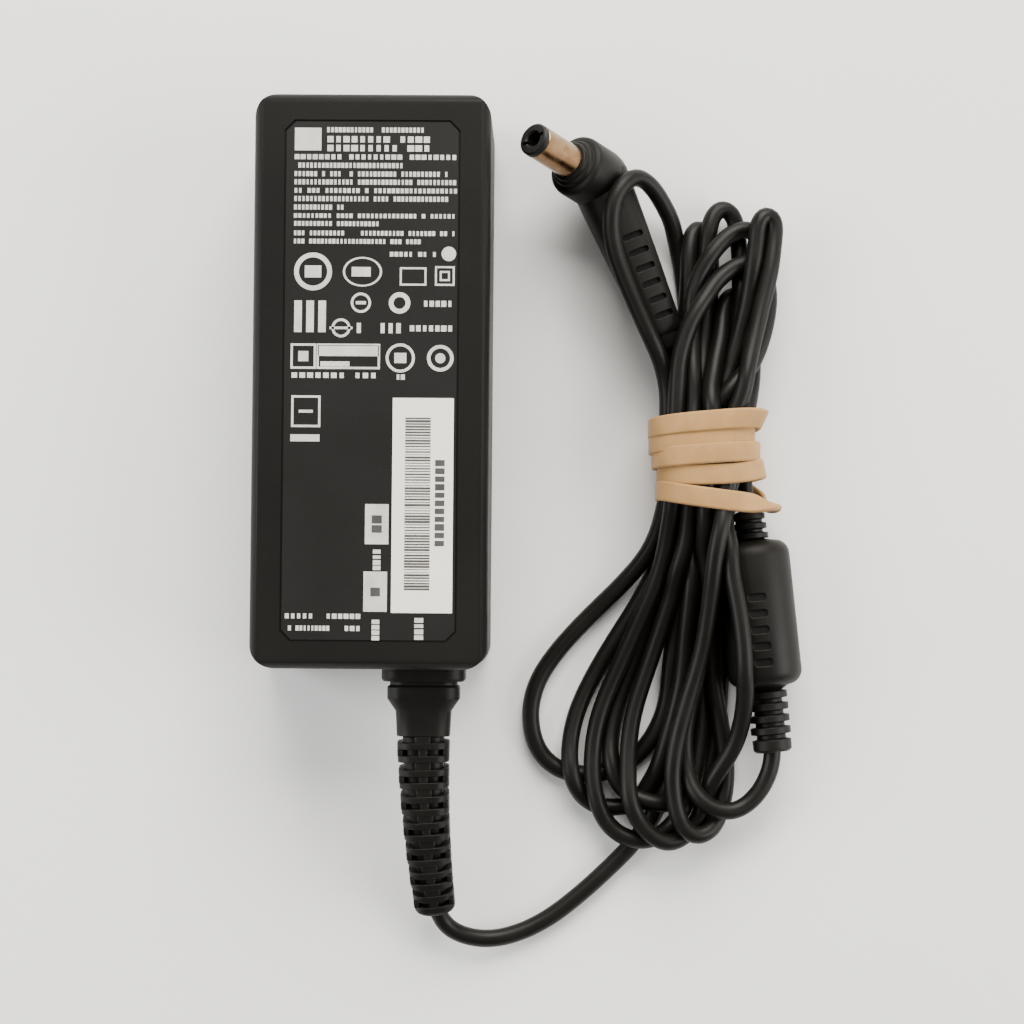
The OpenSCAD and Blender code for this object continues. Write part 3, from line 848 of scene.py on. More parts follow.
@dataclass
class HankSettler:
    """Lays the whole cord out and lets it settle under its own weight, as one line of beads.

    The folds give where the cord goes. Settling keeps its length, keeps its runs a diameter apart, and keeps
    it above the surface, inside the band and outside the case, the ferrite and the plug.

    Args:
        diameter: the cord's diameter.
        bead: distance between beads.
        rounds: steps of settling.
        tightest: radius of the tightest bend that the cord makes.
        band: the band's two edges along Y.
        band_mid: middle of the band in X and Z.
        band_half: half of the room inside the band in X and Z.
        case_side: the case's side in X.
        case_end: the case's end in Y.
        sink: how far the cord sinks in a step, at first and near the end.
        partings: steps at the end that only part the runs.
        eye: the point from which the cord keeps its way while it sinks.
        ferrite: where the ferrite lies.
        plug: where the plug lies.
        tail: where the strain relief's tail lies.
    """

    diameter: float = 2.9
    bead: float = 1.35
    rounds: int = 520
    tightest: float = 1.8
    band: tuple[float, float] = (-3.0, -19.0)
    band_mid: tuple[float, float] = (53.9, 8.3)
    band_half: tuple[float, float] = (7.8, 5.7)
    case_side: float = 18.75
    case_end: float = -45.5
    sink: tuple[float, float] = (0.07, 0.02)
    partings: int = 40
    eye: Point = (28.6, -36.0, 433.7)
    ferrite: FerriteLine = FerriteLine()
    plug: PlugLine = PlugLine()
    tail: StrainTail = StrainTail()

    def route(self) -> tuple[np.ndarray, tuple[int, int, int]]:
        """The cord's points before settling.

        Returns:
            The points, and the indexes of the lead's start and of the ferrite's two ends.
        """
        points = [tuple(p) for p in self.tail.points()[4:7]] + list(LEAD_WAY)
        start = 4
        top, low = self.band
        for fold in FOLDS:
            leg = [(fold.leg.low_x, low, fold.leg.z), (fold.leg.top_x, top, fold.leg.z)]
            leg.insert(1, tuple((a + b) / 2 for a, b in zip(*leg)))
            points += leg if fold.upper else leg[::-1]
            points += [p if len(p) == 3 else (*p, fold.height) for p in fold.way]
        lower, upper = self.ferrite.ends()
        first = len(points)
        points += [tuple(lower.lerp(upper, i / 12)) for i in range(13)]
        last = len(points) - 1
        points.append(((PLUG_LEG.low_x + PLUG_LEG.top_x) / 2, (top + low) / 2, PLUG_LEG.z))
        points.append((PLUG_LEG.top_x, top, 4.6))
        points += list(PLUG_WAY)
        end, back = Vector(self.plug.neck_end), -self.plug.neck().normalized()
        points += [tuple(end + back * t) for t in (0, 3, 6)]
        return np.array(points, float), (start, first, last)

    def settle(self) -> np.ndarray:
        """Settles the cord.

        Returns:
            The beads' places, one row for each.
        """
        points, marks = self.route()
        line, at = smooth_line(points)
        beads, step, marks = even_beads(line, self.bead, [at[m] for m in marks], 0.4)
        count = len(beads)
        fixed = np.zeros(count, bool)
        fixed[: marks[0] + 1] = True
        fixed[marks[1] : marks[2] + 1] = True
        fixed[-5:] = True
        near_ferrite = np.zeros(count, bool)
        near_ferrite[marks[1] - 6 : marks[2] + 7] = True
        free = np.where(fixed, 0.0, 1.0)
        from_fixed = np.abs(np.arange(count)[:, None] - np.flatnonzero(fixed)).min(axis=1)
        heavy = np.clip(from_fixed / 12, 0, 1)
        goal = beads.copy()
        order = np.arange(count)
        solids = self._plug_solids()
        beads_by_plug = (free > 0) & (order < count - 12)
        beads_by_ferrite = (free > 0) & ~near_ferrite
        pairs = (order[:0], order[:0])
        for turn in range(self.rounds):
            done = turn / self.rounds
            beads[:, 2] -= self.sink[0 if done < 0.7 else 1] * heavy
            self._relax_bends(beads, goal, free)
            self._keep_lengths(beads, free, step)
            if turn % 6 == 0:
                pairs = self._neighbours(beads)
            for _ in range(2):
                self._part(beads, free, pairs)
            self._open_bends(beads, free, step)
            for solid in solids:
                self._push_out(beads, beads_by_plug, *solid)
            for solid in self._ferrite_solids():
                self._push_out(beads, beads_by_ferrite, *solid)
            self._stay_in_room(beads, free, near_ferrite)
        for _ in range(self.partings):
            self._open_bends(beads, free, step)
            self._part(beads, free, pairs)
            self._stay_in_room(beads, free, near_ferrite)
        return beads

    def _relax_bends(self, beads: np.ndarray, goal: np.ndarray, free: np.ndarray) -> None:
        """Pulls the cord to its way, and evens its bends and its strays from the way out."""
        share = (self.eye[2] - beads[:, 2]) / (self.eye[2] - goal[:, 2])
        eye = np.array(self.eye[:2])
        stray = beads[:, :2] - (eye + (goal[:, :2] - eye) * share[:, None])
        for gap, rate in ((1, 0.15), (4, 0.35)):
            even = np.zeros_like(stray)
            even[gap:-gap] = (stray[: -2 * gap] + stray[2 * gap :]) / 2 - stray[gap:-gap]
            beads[:, :2] += rate * even * free[:, None]
        sag = np.zeros(len(beads))
        sag[3:-3] = (beads[:-6, 2] + beads[6:, 2]) / 2 - beads[3:-3, 2]
        beads[:, 2] += 0.12 * sag * free
        beads[:, :2] -= 0.04 * stray * free[:, None]
        bend = np.zeros_like(beads)
        bend[1:-1] = beads[:-2] + beads[2:] - 2 * beads[1:-1]
        change = np.zeros_like(beads)
        change[1:-1] = bend[:-2] + bend[2:] - 2 * bend[1:-1]
        beads[2:-2, :2] -= 0.04 * change[2:-2, :2] * free[2:-2, None]
        beads[2:-2, 2] += (0.14 * bend[2:-2, 2] - 0.03 * change[2:-2, 2]) * free[2:-2]

    @staticmethod
    def _keep_lengths(beads: np.ndarray, free: np.ndarray, step: float) -> None:
        """Brings neighbouring beads back to one step apart."""
        for _ in range(2):
            for odd in (0, 1):
                a = np.arange(odd, len(beads) - 1, 2)
                gap = beads[a + 1] - beads[a]
                long = np.linalg.norm(gap, axis=1) + 1e-9
                share = np.maximum(free[a] + free[a + 1], 1e-9)
                move = gap * ((long - step) / long / share * 0.8)[:, None]
                beads[a] += move * free[a][:, None]
                beads[a + 1] -= move * free[a + 1][:, None]

    def _open_bends(self, beads: np.ndarray, free: np.ndarray, step: float) -> None:
        """Pushes beads apart where the cord bends more tightly than it can."""
        for gap in (2, 3, 4):
            need = 2 * self.tightest * math.sin(gap * step / 2 / self.tightest)
            across = beads[gap:] - beads[:-gap]
            long = np.linalg.norm(across, axis=1) + 1e-9
            move = across * (np.maximum(need - long, 0) / long * 0.3)[:, None]
            beads[gap:] += move * free[gap:, None]
            beads[:-gap] -= move * free[:-gap, None]

    def _neighbours(self, beads: np.ndarray) -> tuple[np.ndarray, np.ndarray]:
        """Pairs of beads of different runs that may touch soon."""
        gap = beads[:, None, :] - beads[None, :, :]
        a, b = np.nonzero((gap**2).sum(2) < (self.diameter + 2.2) ** 2)
        apart = (b - a) > 4
        return a[apart], b[apart]

    def _part(self, beads: np.ndarray, free: np.ndarray, pairs: tuple[np.ndarray, np.ndarray]) -> None:
        """Moves touching runs a diameter apart."""
        a, b = pairs
        gap = beads[b] - beads[a]
        long = np.linalg.norm(gap, axis=1) + 1e-9
        need = self.diameter * 1.01 - long
        hit = need > 0
        if not hit.any():
            return
        a, b = a[hit], b[hit]
        push = gap[hit] / long[hit, None] * need[hit, None] * 0.5
        count = len(beads)
        hits = np.bincount(a, minlength=count) + np.bincount(b, minlength=count)
        for k in range(3):
            move = np.bincount(b, weights=push[:, k], minlength=count) - np.bincount(
                a, weights=push[:, k], minlength=count
            )
            beads[:, k] += move / np.maximum(hits, 1) ** 0.5 * free

    def _plug_solids(self) -> list[tuple[np.ndarray, np.ndarray, float, float]]:
        """The plug's neck and head as rods with a radius at each end."""
        start, run = np.array(self.plug.neck_start), np.array(self.plug.neck())
        place = self.plug.barrel_frame()
        head = [np.array(place @ Vector((0, 0, -t))) for t in (1, 9)]
        return [
            (start, start + 0.45 * run, 4.4, 4.2),
            (start + 0.45 * run, start + run, 4.2, 3.2),
            (head[0], head[1], 5.15, 5.15),
        ]

    def _ferrite_solids(self) -> list[tuple[np.ndarray, np.ndarray, float, float]]:
        """The ferrite's housing and its reliefs as rods."""
        middle, way = np.array(self.ferrite.at), np.array(self.ferrite.along())
        return [
            (middle - 8 * way, middle + 8 * way, 6.1, 6.1),
            (middle - 9 * way, middle - 16.6 * way, 4.5, 2.6),
            (middle + 9 * way, middle + 22.5 * way, 4.5, 3.1),
        ]

    def _push_out(
        self, beads: np.ndarray, which: np.ndarray, a: np.ndarray, b: np.ndarray, near: float, far: float
    ) -> None:
        """Moves beads out of a rod from a to b that is near thick at a and far thick at b."""
        run = b - a
        t = np.clip(((beads - a) @ run) / (run @ run), 0, 1)
        gap = beads - (a + t[:, None] * run)
        long = np.linalg.norm(gap, axis=1) + 1e-9
        need = near + (far - near) * t + self.diameter / 2 - long
        hit = (need > 0) & which
        beads[hit] += gap[hit] / long[hit, None] * need[hit, None]

    def _stay_in_room(self, beads: np.ndarray, free: np.ndarray, near_ferrite: np.ndarray) -> None:
        """Keeps beads above the surface, beside the case and inside the band."""
        r = self.diameter / 2
        beside = (beads[:, 0] < self.case_side + r) & (beads[:, 1] > self.case_end) & (free > 0)
        beads[beside, 0] = self.case_side + r
        top, low = self.band
        out = np.maximum(np.abs(beads[:, 1] - (top + low) / 2) - (top - low) / 2 + 1, 0)
        held = (out < 6) & (free > 0) & ~near_ferrite
        half_x = self.band_half[0] - r + 0.45 * out[held]
        half_z = self.band_half[1] - r + 0.45 * out[held]
        x = (beads[held, 0] - self.band_mid[0]) / half_x
        z = (beads[held, 2] - self.band_mid[1]) / half_z
        reach = np.maximum((np.abs(x) ** 3 + np.abs(z) ** 3) ** (1 / 3), 1)
        beads[held, 0] = self.band_mid[0] + x / reach * half_x
        beads[held, 2] = self.band_mid[1] + z / reach * half_z
        beads[:, 2] = np.where(free > 0, np.maximum(beads[:, 2], r + 0.02), beads[:, 2])


def smooth_line(points: np.ndarray, steps: int = 12) -> tuple[np.ndarray, list[int]]:
    """A smooth line through points.

    Args:
        points: the points, one row for each.
        steps: pieces between two points.

    Returns:
        The line's points, and the index of each given point in them.
    """
    padded = np.vstack([2 * points[0] - points[1], points, 2 * points[-1] - points[-2]])
    line, at = [], []
    for i in range(1, len(padded) - 2):
        p = padded[i - 1 : i + 3]
        at.append(len(line))
        gaps = np.maximum(np.linalg.norm(np.diff(p, axis=0), axis=1), 1e-6)
        knots = np.concatenate([[0], np.cumsum(gaps**0.5)])
        for s in range(steps):
            t = knots[1] + (knots[2] - knots[1]) * s / steps
            rows = [p[k] + (p[k + 1] - p[k]) * (t - knots[k]) / (knots[k + 1] - knots[k]) for k in range(3)]
            a, b = (
                rows[k] + (rows[k + 1] - rows[k]) * (t - knots[k]) / (knots[k + 2] - knots[k]) for k in (0, 1)
            )
            line.append(a + (b - a) * (t - knots[1]) / (knots[2] - knots[1]))
    at.append(len(line))
    line.append(padded[-2])
    return np.array(line), at


def even_beads(
    line: np.ndarray, step: float, marks: list[int], flat: float = 1.0
) -> tuple[np.ndarray, float, list[int]]:
    """Spaces a line's points evenly.

    Args:
        line: the line's points.
        step: wanted distance between points.
        marks: indexes whose new index is wanted.
        flat: how much of the line's rise counts in its length.

    Returns:
        The new points, the distance between them, and the marks' new indexes.
    """
    gaps = np.linalg.norm(np.diff(line * (1, 1, flat), axis=0), axis=1)
    way = np.concatenate([[0], np.cumsum(gaps)])
    count = int(round(way[-1] / step))
    stops = np.linspace(0, way[-1], count + 1)
    beads = np.stack([np.interp(stops, way, line[:, k]) for k in range(3)], axis=1)
    return beads, way[-1] / count, [int(round(way[m] / way[-1] * count)) for m in marks]


@dataclass
class OutputCord:
    """The round output cord, one curve from inside the strain relief to inside the plug's neck.

    Args:
        diameter: the cord's diameter.
        step: distance between the curve's points.
    """

    diameter: float = 2.9
    step: float = 0.5

    def build(self, palette: Palette) -> bpy.types.Object:
        """Settles the cord and draws it.

        Args:
            palette: the materials.

        Returns:
            The curve object.
        """
        beads = HankSettler(diameter=self.diameter).settle()
        for _ in range(3):
            beads[1:-1] = 0.5 * beads[1:-1] + 0.25 * (beads[:-2] + beads[2:])
        line, _ = smooth_line(beads, 4)
        points, _, _ = even_beads(line, self.step, [])
        curve = bpy.data.curves.new("output_cord", "CURVE")
        curve.dimensions = "3D"
        curve.bevel_depth = self.diameter / 2 * MM
        curve.bevel_resolution = 4
        curve.use_fill_caps = True
        spline = curve.splines.new("POLY")
        spline.points.add(len(points) - 1)
        for place, point in zip(spline.points, points):
            place.co = (*(point * MM), 1)
        spline.use_smooth = True
        curve.materials.append(palette["cord_rubber"])
        cord = bpy.data.objects.new("output_cord", curve)
        bpy.context.scene.collection.objects.link(cord)
        return cord

    def declare(self, cord: bpy.types.Object) -> None:
        """Registers the cord and logs its length.

        Args:
            cord: the curve object.
        """
        points = [Vector(p.co[:3]) for p in cord.data.splines[0].points]
        length = sum((b - a).length for a, b in zip(points, points[1:]))
        register(cord, "cord_rubber", "cord_lead", "cord_top_loop", "cord_hank", "cord_in_ferrite")
        exit_at = StrainTail().points()[-1] * MM
        self.diameter * MM
        log.info("cord: %.3f m long", length)


# ---- the case and what is on it ----


@dataclass(frozen=True)
class Seam:
    """The line round the case where its two shells meet.

    Args:
        height: the seam's height.
        chamfer: width of the small chamfer on each shell's edge.
        inner_x: half of the width inside which no edge is an outer one.
        inner_y: half of the length inside which no edge is an outer one.
    """

    height: float = 13.0
    chamfer: float = 0.18
    inner_x: float = 16.7
    inner_y: float = 43.5

    def holds(self, edge: bmesh.types.BMEdge) -> bool:
        """Whether an edge of a shell, in metres, lies on the seam's outside."""
        if len(edge.link_faces) != 2:
            return False
        spots = [vert.co / MM for vert in edge.verts]
        level = all(abs(spot.z - self.height) <= 0.002 for spot in spots)
        outside = all(abs(spot.x) > self.inner_x or abs(spot.y) > self.inner_y for spot in spots)
        wall, ledge = sorted((face.normal for face in edge.link_faces), key=lambda normal: abs(normal.z))
        square = abs(wall.z) < 0.2 and abs(ledge.z) > 0.9
        return level and outside and square and wall.xy.dot((spots[0] + spots[1]).xy) > 0


def merged_copy(
    node: str, name: str, material: bpy.types.Material, angle: float = 30.0, seam: "Seam | None" = None
) -> bpy.types.Object:
    """A smoothly shaded copy of a CAD node, with its doubled corners joined.

    Args:
        node: the CAD node.
        name: the copy's name.
        material: the copy's material.
        angle: edges sharper than this many degrees stay sharp.
        seam: the seam along which the copy gets a small chamfer, if any.

    Returns:
        The copy.
    """
    source = frame["nodes"][node]
    draft = bmesh.new()
    draft.from_mesh(source.data)
    bmesh.ops.remove_doubles(draft, verts=draft.verts, dist=0.002 * MM)
    bmesh.ops.recalc_face_normals(draft, faces=draft.faces)
    if seam is not None:
        rim = [edge for edge in draft.edges if seam.holds(edge)]
        bmesh.ops.bevel(draft, geom=rim, offset=seam.chamfer * MM, segments=1, affect="EDGES")
        log.info("%s: %d edges of the seam chamfered", name, len(rim))
    mesh = bpy.data.meshes.new(name)
    draft.to_mesh(mesh)
    draft.free()
    mesh.materials.clear()
    mesh.materials.append(material)
    copy = bpy.data.objects.new(name, mesh)
    bpy.context.scene.collection.objects.link(copy)
    shade(copy, angle)
    for face in mesh.polygons:
        face.use_smooth = max(abs(part) for part in face.normal) < 0.9999
    return copy


class Shape(Enum):
    """Plain shapes that stand for the marks on the label."""

    BAR = "a filled rectangle"
    FRAME = "the outline of a rectangle"
    RING = "a ring"
    DISC = "a filled circle"


@dataclass(frozen=True)
class Mark:
    """One plain shape on the label.

    Args:
        shape: which shape.
        x: middle in X.
        y: middle in Y.
        w: width.
        h: height.
        line: width of an outline.
    """

    shape: Shape
    x: float
    y: float
    w: float
    h: float
    line: float = 0.3

    def draw(self, draft: Draft, z: float, thick: float) -> None:
        """Adds the shape to a drawing, thick millimetres high from z."""
        x0, x1 = self.x - self.w / 2, self.x + self.w / 2
        y0, y1 = self.y - self.h / 2, self.y + self.h / 2
        top = z + thick
        if self.shape is Shape.BAR:
            draft.block((x0, y0, z), (x1, y1, top))
        elif self.shape is Shape.FRAME:
            t = self.line
            draft.block((x0, y0, z), (x1, y0 + t, top))
            draft.block((x0, y1 - t, z), (x1, y1, top))
            draft.block((x0, y0 + t, z), (x0 + t, y1 - t, top))
            draft.block((x1 - t, y0 + t, z), (x1, y1 - t, top))
        elif self.shape is Shape.RING:
            r = self.w / 2
            draft.washer((self.x, self.y, z), r, r - self.line, thick, self.h / self.w)
        else:
            place = Matrix.Translation((self.x, self.y, z))
            draft.turned([(0, self.w / 2), (thick, self.w / 2)], place, 28)


@dataclass(frozen=True)
class PrintRow:
    """One row of printing, as small blocks of uneven length.

    Args:
        y: middle of the row.
        start: left end.
        end: right end.
        height: height of the blocks.
        pitch: distance between blocks.
    """

    y: float
    start: float
    end: float
    height: float = 0.8
    pitch: float = 0.62


PRINT_ROWS = (
    PrintRow(39.6, -7.3, 8.8), PrintRow(38.1, -7.3, 9.2, 1.0, 1.3), PrintRow(36.7, -7.3, 9.2, 1.0, 1.3),
    PrintRow(35.3, -12.4, 13.4, 0.8, 0.95), PrintRow(33.95, -12.4, 5.5), PrintRow(32.6, -12.4, 12.0),
    PrintRow(31.3, -12.4, 13.3), PrintRow(29.95, -12.4, 13.5, 0.75, 0.7), PrintRow(28.65, -12.4, 12.7),
    PrintRow(27.3, -12.4, -4.4), PrintRow(25.95, -12.4, 13.2, 0.7, 0.68), PrintRow(24.7, -12.4, 1.2, 0.75),
    PrintRow(23.2, -12.4, 13.2, 0.75), PrintRow(21.9, -12.4, 7.8, 0.75),
    PrintRow(19.9, 2.8, 10.3, 0.75, 0.75), PrintRow(12.1, 7.2, 12.9, 0.95, 1.0),
    PrintRow(8.2, -2.5, 5.0, 1.6, 1.25), PrintRow(8.2, 6.0, 13.0, 0.95, 1.0),
    PrintRow(0.7, -12.6, 1.1, 0.85, 1.25), PrintRow(0.5, 4.0, 5.5, 0.85, 0.8),
    PrintRow(-37.2, -13.2, -1.1, 0.8, 0.9), PrintRow(-39.1, -13.2, -6.0),
    PrintRow(-39.1, -3.8, -1.1, 0.8, 0.9),
)
MARKS = (
    Mark(Shape.BAR, -10.2, 38.1, 4.2, 3.6), Mark(Shape.DISC, 12.2, 20.0, 2.3, 2.3),
    Mark(Shape.RING, -9.2, 17.1, 6.0, 6.0, 0.75), Mark(Shape.BAR, -9.2, 17.1, 2.6, 1.9),
    Mark(Shape.RING, -1.4, 17.1, 6.2, 4.7, 0.35), Mark(Shape.BAR, -1.6, 17.1, 3.0, 1.5),
    Mark(Shape.FRAME, 6.6, 16.4, 4.2, 2.9), Mark(Shape.FRAME, 11.6, 16.5, 3.1, 3.1),
    Mark(Shape.FRAME, 11.6, 16.5, 1.6, 1.6), Mark(Shape.BAR, -11.5, 10.0, 1.2, 5.0),
    Mark(Shape.BAR, -9.6, 10.0, 1.2, 5.0), Mark(Shape.BAR, -7.7, 10.0, 1.2, 5.0),
    Mark(Shape.RING, -1.6, 12.2, 3.2, 3.2, 0.4), Mark(Shape.BAR, -1.6, 12.2, 1.6, 0.5),
    Mark(Shape.RING, 4.5, 12.2, 3.4, 3.4, 0.75), Mark(Shape.RING, -4.7, 8.2, 3.0, 3.0, 0.4),
    Mark(Shape.BAR, -4.7, 8.2, 3.6, 0.4), Mark(Shape.FRAME, -10.6, 3.7, 4.0, 4.0, 0.35),
    Mark(Shape.BAR, -10.6, 3.7, 1.6, 1.6), Mark(Shape.BAR, -3.5, 4.6, 9.6, 1.7),
    Mark(Shape.FRAME, -3.5, 3.7, 10.0, 4.0, 0.35), Mark(Shape.BAR, -5.6, 2.5, 4.6, 0.8),
    Mark(Shape.RING, 4.7, 3.5, 4.6, 4.6, 0.45),
    Mark(Shape.BAR, 4.7, 3.5, 1.9, 1.6), Mark(Shape.RING, 11.0, 3.5, 4.2, 4.2, 0.55),
    Mark(Shape.DISC, 11.0, 3.5, 1.6, 1.6), Mark(Shape.FRAME, -10.1, -5.0, 4.6, 5.0, 0.35),
    Mark(Shape.BAR, -10.1, -5.0, 2.2, 0.45), Mark(Shape.BAR, -10.2, -9.2, 4.6, 1.1),
    Mark(Shape.BAR, 1.25, -22.7, 3.7, 6.3), Mark(Shape.BAR, 1.1, -33.3, 3.7, 6.3),
)


@dataclass(frozen=True)
class Label:
    """The rating label, the sticker on it and what is printed on both.

    Args:
        film_z: the film's top.
        ink: height of the printing.
        fill: shortest and longest block of a printed row, as shares of its pitch.
        kept: share of the blocks that stay in a printed row.
    """

    film_z: float = 25.9
    ink: float = 0.03
    fill: tuple[float, float] = (0.5, 0.86)
    kept: float = 0.88

    def build(self, palette: Palette, rows: MarkRow) -> list[bpy.types.Object]:
        """Lays the label, the sticker and the printing.

        Args:
            palette: the materials.
            rows: the tree that makes rows of blocks.

        Returns:
            The four pieces.
        """
        film = merged_copy("rating_label", "label_film", palette["label_film"])
        sticker = merged_copy("barcode_sticker", "white_sticker", palette["white_sticker"])
        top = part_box("barcode_sticker")[1][2] / MM
        pale, dark = Draft(), Draft()
        for i, row in enumerate(PRINT_ROWS):
            length = row.end - row.start
            count = max(2, round(length / row.pitch))
            ink = palette["label_ink"]
            mesh = rows.draw(length, row.height, self.ink, count, self.fill, 11 + i, ink, self.kept)
            pale.mesh(mesh, Matrix.Translation((row.start, row.y, self.film_z + self.ink / 2)))
        for mark in MARKS:
            mark.draw(pale, self.film_z, self.ink)
        self._across(dark, rows, (7.6, -5.8, top), 27.3, 4.0, 62, (0.2, 0.85), 5, palette)
        self._across(dark, rows, (11.1, -12.4, top), 13.9, 1.5, 11, (0.62, 0.86), 6, palette)
        self._across(dark, rows, (1.25, -21.2, self.film_z + self.ink), 3.0, 1.6, 2, (0.7, 0.9), 7, palette)
        self._across(dark, rows, (1.1, -32.6, self.film_z + self.ink), 1.5, 1.5, 1, (0.9, 0.95), 8, palette)
        self._across(pale, rows, (1.3, -26.6, self.film_z), 3.4, 1.2, 4, (0.6, 0.9), 9, palette)
        self._across(pale, rows, (1.2, -37.6, self.film_z), 3.4, 1.2, 4, (0.6, 0.9), 10, palette)
        self._across(pale, rows, (8.0, -37.3, self.film_z), 3.6, 1.4, 4, (0.6, 0.9), 12, palette)
        pale_print = pale.finish("label_print", palette["label_ink"])
        dark_print = dark.finish("sticker_print", palette["sticker_ink"])
        return [
            register(film, "label_film", "rating_label"),
            register(sticker, "white_sticker", "barcode_sticker"),
            register(pale_print, "white_sticker"),
            register(dark_print, "label_film"),
        ]

    def _across(
        self, draft: Draft, rows: MarkRow, at: Point, length: float, height: float, count: int,
        fill: tuple[float, float], seed: int, palette: Palette,
    ) -> None:
        """Adds a row that runs down the label from a point."""
        mesh = rows.draw(length, height, self.ink, count, fill, seed, palette["sticker_ink"])
        place = Matrix.Translation((at[0], at[1], at[2] + self.ink / 2))
        draft.mesh(mesh, place @ Matrix.Rotation(math.radians(-90), 4, "Z"))


# ---- what is moulded or tied on the cord ----


@dataclass(frozen=True)
class StrainRelief:
    """The moulded strain relief: anchor, shoulder, cone and ringed tail.

    Args:
        tail: the line that the rings follow.
        wide: width of the tail where it starts.
        loss: width lost with each ring.
        rise: height of the tail where it starts.
    """

    tail: StrainTail = StrainTail()
    wide: float = 8.5
    loss: float = 0.27
    rise: float = 8.0

    def build(self, palette: Palette) -> bpy.types.Object:
        """Draws the relief."""
        draft = Draft()
        start = Vector(self.tail.at)
        down = Vector((0, -1, 0))
        root = (
            (-4.7, 12, 10, 2), (-2.2, 12, 10, 2), (-2.2, 9, 7, 1), (0, 9, 7, 1), (0, 13.4, 11.4, 3),
            (1.7, 13.4, 11.4, 3), (2.1, 12.8, 10.8, 2.8), (2.1, 10.8, 9, 2.6), (2.75, 10.8, 9, 2.6),
            (2.75, 11.2, 9.4, 2.5), (3.0, 11.6, 9.8, 2.6), (4.9, 11.6, 9.8, 2.6), (5.3, 11, 9.4, 2.6),
            (6.9, 8.9, 8.2, 2.6), (10.9, 8.5, 8, 2.6),
        )
        rings = []
        for t, w, h, r in root:
            place = facing(start + down * t, down)
            rings.append(draft.ring(rounded_outline(w, h, r), place))
        draft.skin(rings)
        self._core(draft)
        for k in range(self.tail.rings):
            self._slab(draft, k + 0.22, k + 0.48)
            self._slab(draft, k + 0.72, k + 0.99)
            self._bridge(draft, k - 0.03, k + 0.24, 0.0, 2.6)
            self._bridge(draft, k + 0.46, k + 0.74, 0.0, 1.5)
            for side in (-1, 1):
                offset = side * (self._width(k + 0.6) / 2 - 0.5)
                self._bridge(draft, k + 0.46, k + 0.74, offset, 0.9, 0.82)
        self._cap(draft)
        return draft.finish("strain_relief_detail", palette["relief_rubber"], 40, 0.14)

    def _width(self, s: float) -> float:
        """Width of the tail s rings from its start."""
        return self.wide - self.loss * s

    def _height(self, s: float) -> float:
        """Height of the tail s rings from its start."""
        return self.rise - self.loss * 0.85 * s

    def _place(self, s: float) -> Matrix:
        """Frame on the tail's line, s rings from its start."""
        spots = self.tail.points()
        k = min(max(int(math.floor(s)), 0), len(spots) - 2)
        ahead = spots[k + 1] - spots[k]
        return facing(spots[k] + ahead * (s - k), ahead)

    def _core(self, draft: Draft) -> None:
        """Adds the tail's core."""
        rings = []
        for k in range(self.tail.rings * 2 + 1):
            s = min(k / 2, self.tail.rings - 0.02)
            outline = rounded_outline(self._width(s) - 1.8, self._height(s) - 1.8, 2.0)
            rings.append(draft.ring(outline, self._place(s)))
        draft.skin(rings)

    def _slab(self, draft: Draft, start: float, end: float) -> None:
        """Adds a rib."""
        mid = (start + end) / 2
        outline = rounded_outline(self._width(mid), self._height(mid), 2.5)
        draft.prism(outline, self._place(start), self._place(end))

    def _bridge(
        self, draft: Draft, start: float, end: float, offset: float, width: float, share: float = 0.97
    ) -> None:
        """Adds a bar between ribs, as high as they are."""
        mid = (start + end) / 2
        outline = [(x + offset, y) for x, y in rounded_outline(width, self._height(mid) * share, 0.3, 2)]
        draft.prism(outline, self._place(start), self._place(end))

    def _cap(self, draft: Draft) -> None:
        """Adds the tail's rounded end."""
        rings = []
        last = self.tail.rings
        for s, share in ((-0.03, 1.0), (0.06, 0.97), (0.13, 0.88), (0.17, 0.72)):
            outline = rounded_outline(self._width(last) * share, self._height(last) * share, 2.5)
            rings.append(draft.ring(outline, self._place(last + s)))
        draft.skin(rings)


